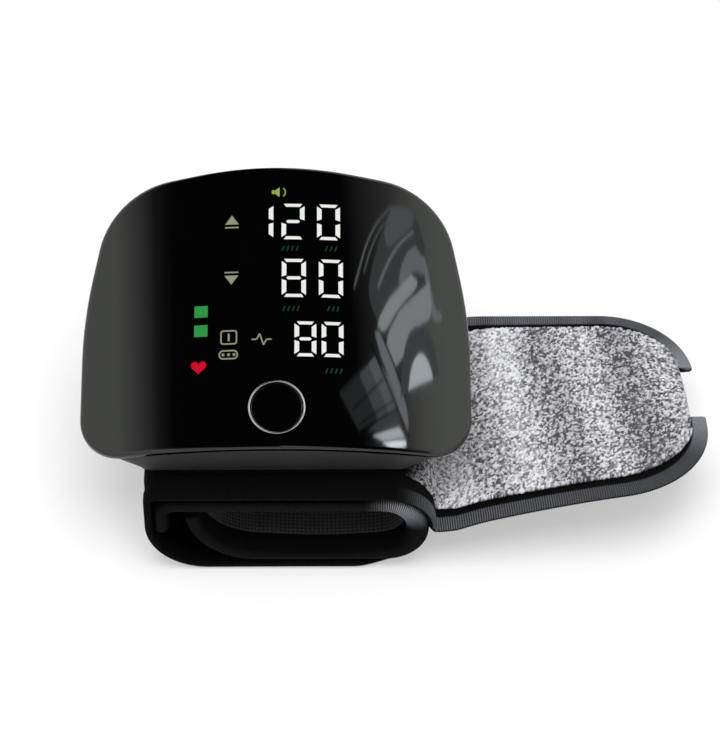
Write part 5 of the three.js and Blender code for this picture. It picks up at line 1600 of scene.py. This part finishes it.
class MONITOR_OT_stage(bpy.types.Operator):
    """Adds the floor, the light, the reflectors and the camera"""

    bl_idname = "monitor.stage"
    bl_label = "Stage"

    def execute(self, context):
        sizes = context.scene.monitor_stage
        context.scene.view_settings.view_transform = "Standard"
        self.add_camera(context, sizes)
        self.add_floor(context, sizes)
        self.add_light(sizes)
        self.add_world(context, sizes)
        self.add_cards(context, sizes)
        return {"FINISHED"}

    @staticmethod
    def add_camera(context, sizes):
        data = bpy.data.cameras.new("camera")
        data.lens = sizes.lens
        data.clip_start = 0.01
        camera = linked("camera", data)
        level = math.cos(sizes.elevation)
        back = Vector((
            math.sin(sizes.azimuth) * level, -math.cos(sizes.azimuth) * level, math.sin(sizes.elevation)
        ))
        camera.location = Vector(sizes.target) + back * sizes.distance
        aim = Euler((QUARTER - sizes.elevation, 0, sizes.azimuth)).to_matrix()
        camera.rotation_euler = (aim @ Matrix.Rotation(sizes.roll, 3, "Z")).to_euler()
        context.scene.camera = camera

    @staticmethod
    def stage_object(name, bm, material):
        thing = linked(name, mesh_of(name, bm))
        thing.data.materials.append(material)
        return thing

    def add_floor(self, context, sizes):
        bm = bmesh.new()
        bmesh.ops.create_grid(bm, x_segments=2, y_segments=2, size=sizes.floor)
        bmesh.ops.translate(bm, verts=bm.verts, vec=(0, 0, cad_box[0][2] - sizes.floor_gap))
        surface = Surface("floor_paper")
        tints = context.scene.monitor_colours
        grain = surface.grain(surface.place(), 40, 2)
        shade = surface.mixed(grain, opaque(tints.floor, 0.995), opaque(tints.floor, 1.005))
        surface.set(Base_Color=shade, Roughness=0.9, Specular_IOR_Level=0.0)
        white = surface.add("ShaderNodeEmission", None, {"Strength": 1.0})
        seen = surface.add("ShaderNodeLightPath", output="Is Camera Ray")
        lit = Value(surface, surface.shader.outputs["BSDF"])
        shown = surface.add("ShaderNodeMixShader", None, {0: seen * sizes.whiteness, 1: lit, 2: white})
        surface.feed(surface.tree.nodes["Material Output"].inputs["Surface"], shown)
        self.stage_object("floor", bm, surface.material)

    @staticmethod
    def add_light(sizes):
        data = bpy.data.lights.new("overhead", "AREA")
        data.energy = sizes.key
        data.size = sizes.key_size
        lamp = linked("overhead", data)
        lamp.location = sizes.key_place
        aim = Vector(sizes.key_target) - lamp.location
        lamp.rotation_euler = aim.to_track_quat("-Z", "Y").to_euler()
        lamp.visible_glossy = False

    @staticmethod
    def add_world(context, sizes):
        world = bpy.data.worlds.new("studio")
        context.scene.world = world
        world.use_nodes = True
        sky = Finish(world.node_tree)
        camera, glossy, passed = (
            sky.add("ShaderNodeLightPath", output=name)
            for name in ("Is Camera Ray", "Is Glossy Ray", "Is Transmission Ray")
        )
        seen = camera.at_least(glossy).at_least(passed)
        background = world.node_tree.nodes["Background"]
        background.inputs["Color"].default_value = (1, 1, 1, 1)
        sky.feed(background.inputs["Strength"], seen * (1 - sizes.ambient) + sizes.ambient)

    def add_cards(self, context, sizes):
        """Reflectors that only glossy surfaces see: a dark ceiling, grey to its sides, and a lit window."""
        height = cover_high.z + sizes.card_height
        bm = bmesh.new()
        bmesh.ops.create_grid(bm, x_segments=1, y_segments=1, size=sizes.card_size)
        bmesh.ops.translate(bm, verts=bm.verts, vec=(0, 0, height))
        surface = Surface("reflector_grey")
        across, back = (
            surface.add("ShaderNodeSeparateXYZ", None, {"Vector": surface.place()}, output=axis)
            for axis in "XY"
        )
        slant = (across > 0) * (back + SLANT_FROM) * SLANT
        stops = [(place, tuple(level * part for part in CEILING_TINT)) for place, level in CEILING]
        shade = surface.ramp(across / sizes.card_height * 0.25 + 0.5 + slant, *stops)
        self.add_reflector("reflector_ceiling", bm, surface, shade)

        bm = bmesh.new()
        layer = bm.faces.layers.float.new("glow")
        self.add_window(bm, layer, context, height)
        surface = Surface("reflector_window")
        glow = surface.add("ShaderNodeAttribute", {"attribute_name": "glow"}, output="Vector")
        shade = surface.add("ShaderNodeVectorMath", {"operation": "MULTIPLY"}, {0: glow, 1: WINDOW_TINT})
        self.add_reflector("reflector_window", bm, surface, shade)

    def add_reflector(self, name, bm, surface, shade):
        surface.shader.inputs["Emission Strength"].default_value = 1.0
        surface.set(Base_Color=(0, 0, 0, 1), Roughness=1.0, Emission_Color=shade, Specular_IOR_Level=0.0)
        card = self.stage_object(name, bm, surface.material)
        card.visible_camera = False
        card.visible_diffuse = False
        card.visible_shadow = False

    def add_window(self, bm, layer, context, height):
        """A window's panes and bars: glow, and the places (u, v) of the cover, in mm, that mirror them."""
        dome = Dome(context.scene.monitor_panel)
        eye = context.scene.camera.location
        panes = [
            (0.85, [
                (24.1, 53.5), (28.4, 53.2), (30.6, 44.9), (31, 38.4), (31.9, 30.9), (26.6, 23.4),
                (25.7, 18.5), (23, 22.9), (19.9, 29.2), (18.6, 33.9), (19.4, 39.7), (21.2, 46.5),
            ]),
            (1.6, [
                (23.7, 53.9), (26.6, 54.3), (28.4, 52.2), (27.9, 49.5), (24.8, 46.4), (22.6, 43.8),
                (22.1, 48),
            ]),
            (2.7, [
                (28.4, 45.5), (30.2, 42.5), (30.6, 38.8), (28, 40), (26.6, 38.1), (24.8, 35.5), (25.3, 40.3),
                (26.8, 43.9),
            ]),
            (2.9, [
                (29.7, 43.4), (30.6, 43), (32.2, 31.4), (33.7, 31.2), (33.7, 29.3), (31.9, 28.7),
                (31, 33.6),
            ]),
            (2.2, streak([(23.5, 53.7), (20.4, 49.7), (18.3, 44.7), (16.8, 38.8), (15.8, 34.8)], 0.35)),
            (1.8, streak([(24.3, 52.6), (21.2, 48.6), (19.2, 43.8), (17.8, 38.2)], 0.3)),
            (3, streak([(28.1, 48.6), (24.8, 45.2), (22.3, 40.1), (20.6, 35.1)], 0.5)),
            (5, [(27.5, 39), (29.4, 36.9), (25, 31.6), (21.7, 24.8), (20.1, 27.2), (23, 33.2)]),
            (4.5, [
                (31.2, 37.6), (31.8, 29.5), (28.5, 27.6), (25.6, 20.4), (23.6, 17.5), (21.8, 23.9),
                (25.2, 30.9),
            ]),
            (0.4, [(12.7, 11.9), (19.6, 20.3), (24.9, 10), (16.6, 4)]),
            (1.2, [(16.8, 16), (19.9, 20.4), (25.5, 10.6), (20.4, 6.8)]),
            (2, [(18.6, 18.3), (19.9, 20.4), (25.6, 10.6), (22.6, 8.4)]),
            (0.9, [(18.4, 3.8), (20.4, 6.4), (25.5, 9.4), (25.9, 7.1), (23.5, 5.3)]),
            (3, [
                (19.9, 25.6), (21.1, 26), (23.6, 19), (26.4, 9.5), (26.6, 4.3), (25.7, 5.4),
                (23.6, 13.3), (21.1, 20.4),
            ]),
            (0.05, streak([(19.1, 23.1), (23, 12.9), (26.8, 2.9)], 0.4)),
            (0.05, streak([(20.8, 26.4), (23.7, 19.1), (26.4, 10.6)], 0.35)),
            (0.05, streak([(13.7, 12.4), (19.9, 20.4)], 0.25)),
            (0.05, streak([(15.4, 8.4), (21.5, 15.3)], 0.35)),
            (0.05, streak([(16.6, 5.2), (23.7, 11)], 0.35)),
            (1, [
                (25, 11.7), (25.5, 20.3), (26.8, 26.1), (28.9, 28), (30.9, 26.9), (32.2, 22.7),
                (32.7, 17.6),
            ]),
            (8.5, [(26.6, 13.4), (27.3, 19.2), (29.2, 22.4), (30.9, 20), (31.7, 16.4)]),
            (9, [(19.3, 3.1), (24.7, 5.4), (25.8, 3.3), (21.3, 2.2)]),
            (18, [(21.2, 1.8), (25.9, 2.8), (26.2, 1.7), (25.4, 1), (22.8, 0.8)]),
        ]
        for index, (glow, points) in enumerate(panes):
            level = height - WINDOW_DROP - PANE_DROP * index
            outline = [Vector(point) / 1000 for point in points]
            if len(points) > 4:
                outline = softened(outline)
            corners = [dome.mirrored(eye, *point, level) for point in outline]
            bm.faces.new([bm.verts.new(corner) for corner in corners])[layer] = glow


class MONITOR_PT_sidebar(bpy.types.Panel):
    """Lists the steps and the sizes"""

    bl_label = "Wrist monitor"
    bl_idname = "MONITOR_PT_sidebar"
    bl_space_type = "VIEW_3D"
    bl_region_type = "UI"
    bl_category = "Monitor"

    def draw(self, context):
        for operator in OPERATORS:
            self.layout.operator(operator.bl_idname)
        for name in GROUPS:
            group = getattr(context.scene, name)
            box = self.layout.box()
            for field in type(group).__annotations__:
                box.prop(group, field)


GROUPS = {
    "monitor_panel": PanelSizes,
    "monitor_case": CaseSizes,
    "monitor_button": ButtonSizes,
    "monitor_display": DisplaySizes,
    "monitor_cuff": CuffSizes,
    "monitor_tail": TailSizes,
    "monitor_colours": Colours,
    "monitor_stage": StageSizes,
}
OPERATORS = (
    MONITOR_OT_stage,
    MONITOR_OT_cover,
    MONITOR_OT_case,
    MONITOR_OT_button,
    MONITOR_OT_display,
    MONITOR_OT_strap,
    MONITOR_OT_sleeve,
    MONITOR_OT_inner_finishes,
)


def register():
    for group in GROUPS.values():
        bpy.utils.register_class(group)
    for name, group in GROUPS.items():
        setattr(bpy.types.Scene, name, PointerProperty(type=group))
    for operator in OPERATORS:
        bpy.utils.register_class(operator)
    bpy.utils.register_class(MONITOR_PT_sidebar)


def unregister():
    bpy.utils.unregister_class(MONITOR_PT_sidebar)
    for operator in reversed(OPERATORS):
        bpy.utils.unregister_class(operator)
    for name in GROUPS:
        delattr(bpy.types.Scene, name)
    for group in reversed(GROUPS.values()):
        bpy.utils.unregister_class(group)


def main():
    register()
    bpy.ops.monitor.stage()
    bpy.ops.monitor.cover()
    bpy.ops.monitor.case()
    bpy.ops.monitor.button()
    bpy.ops.monitor.display()
    bpy.ops.monitor.strap()
    bpy.ops.monitor.sleeve()
    bpy.ops.monitor.inner_finishes()


if __name__ == "__main__":
    main()
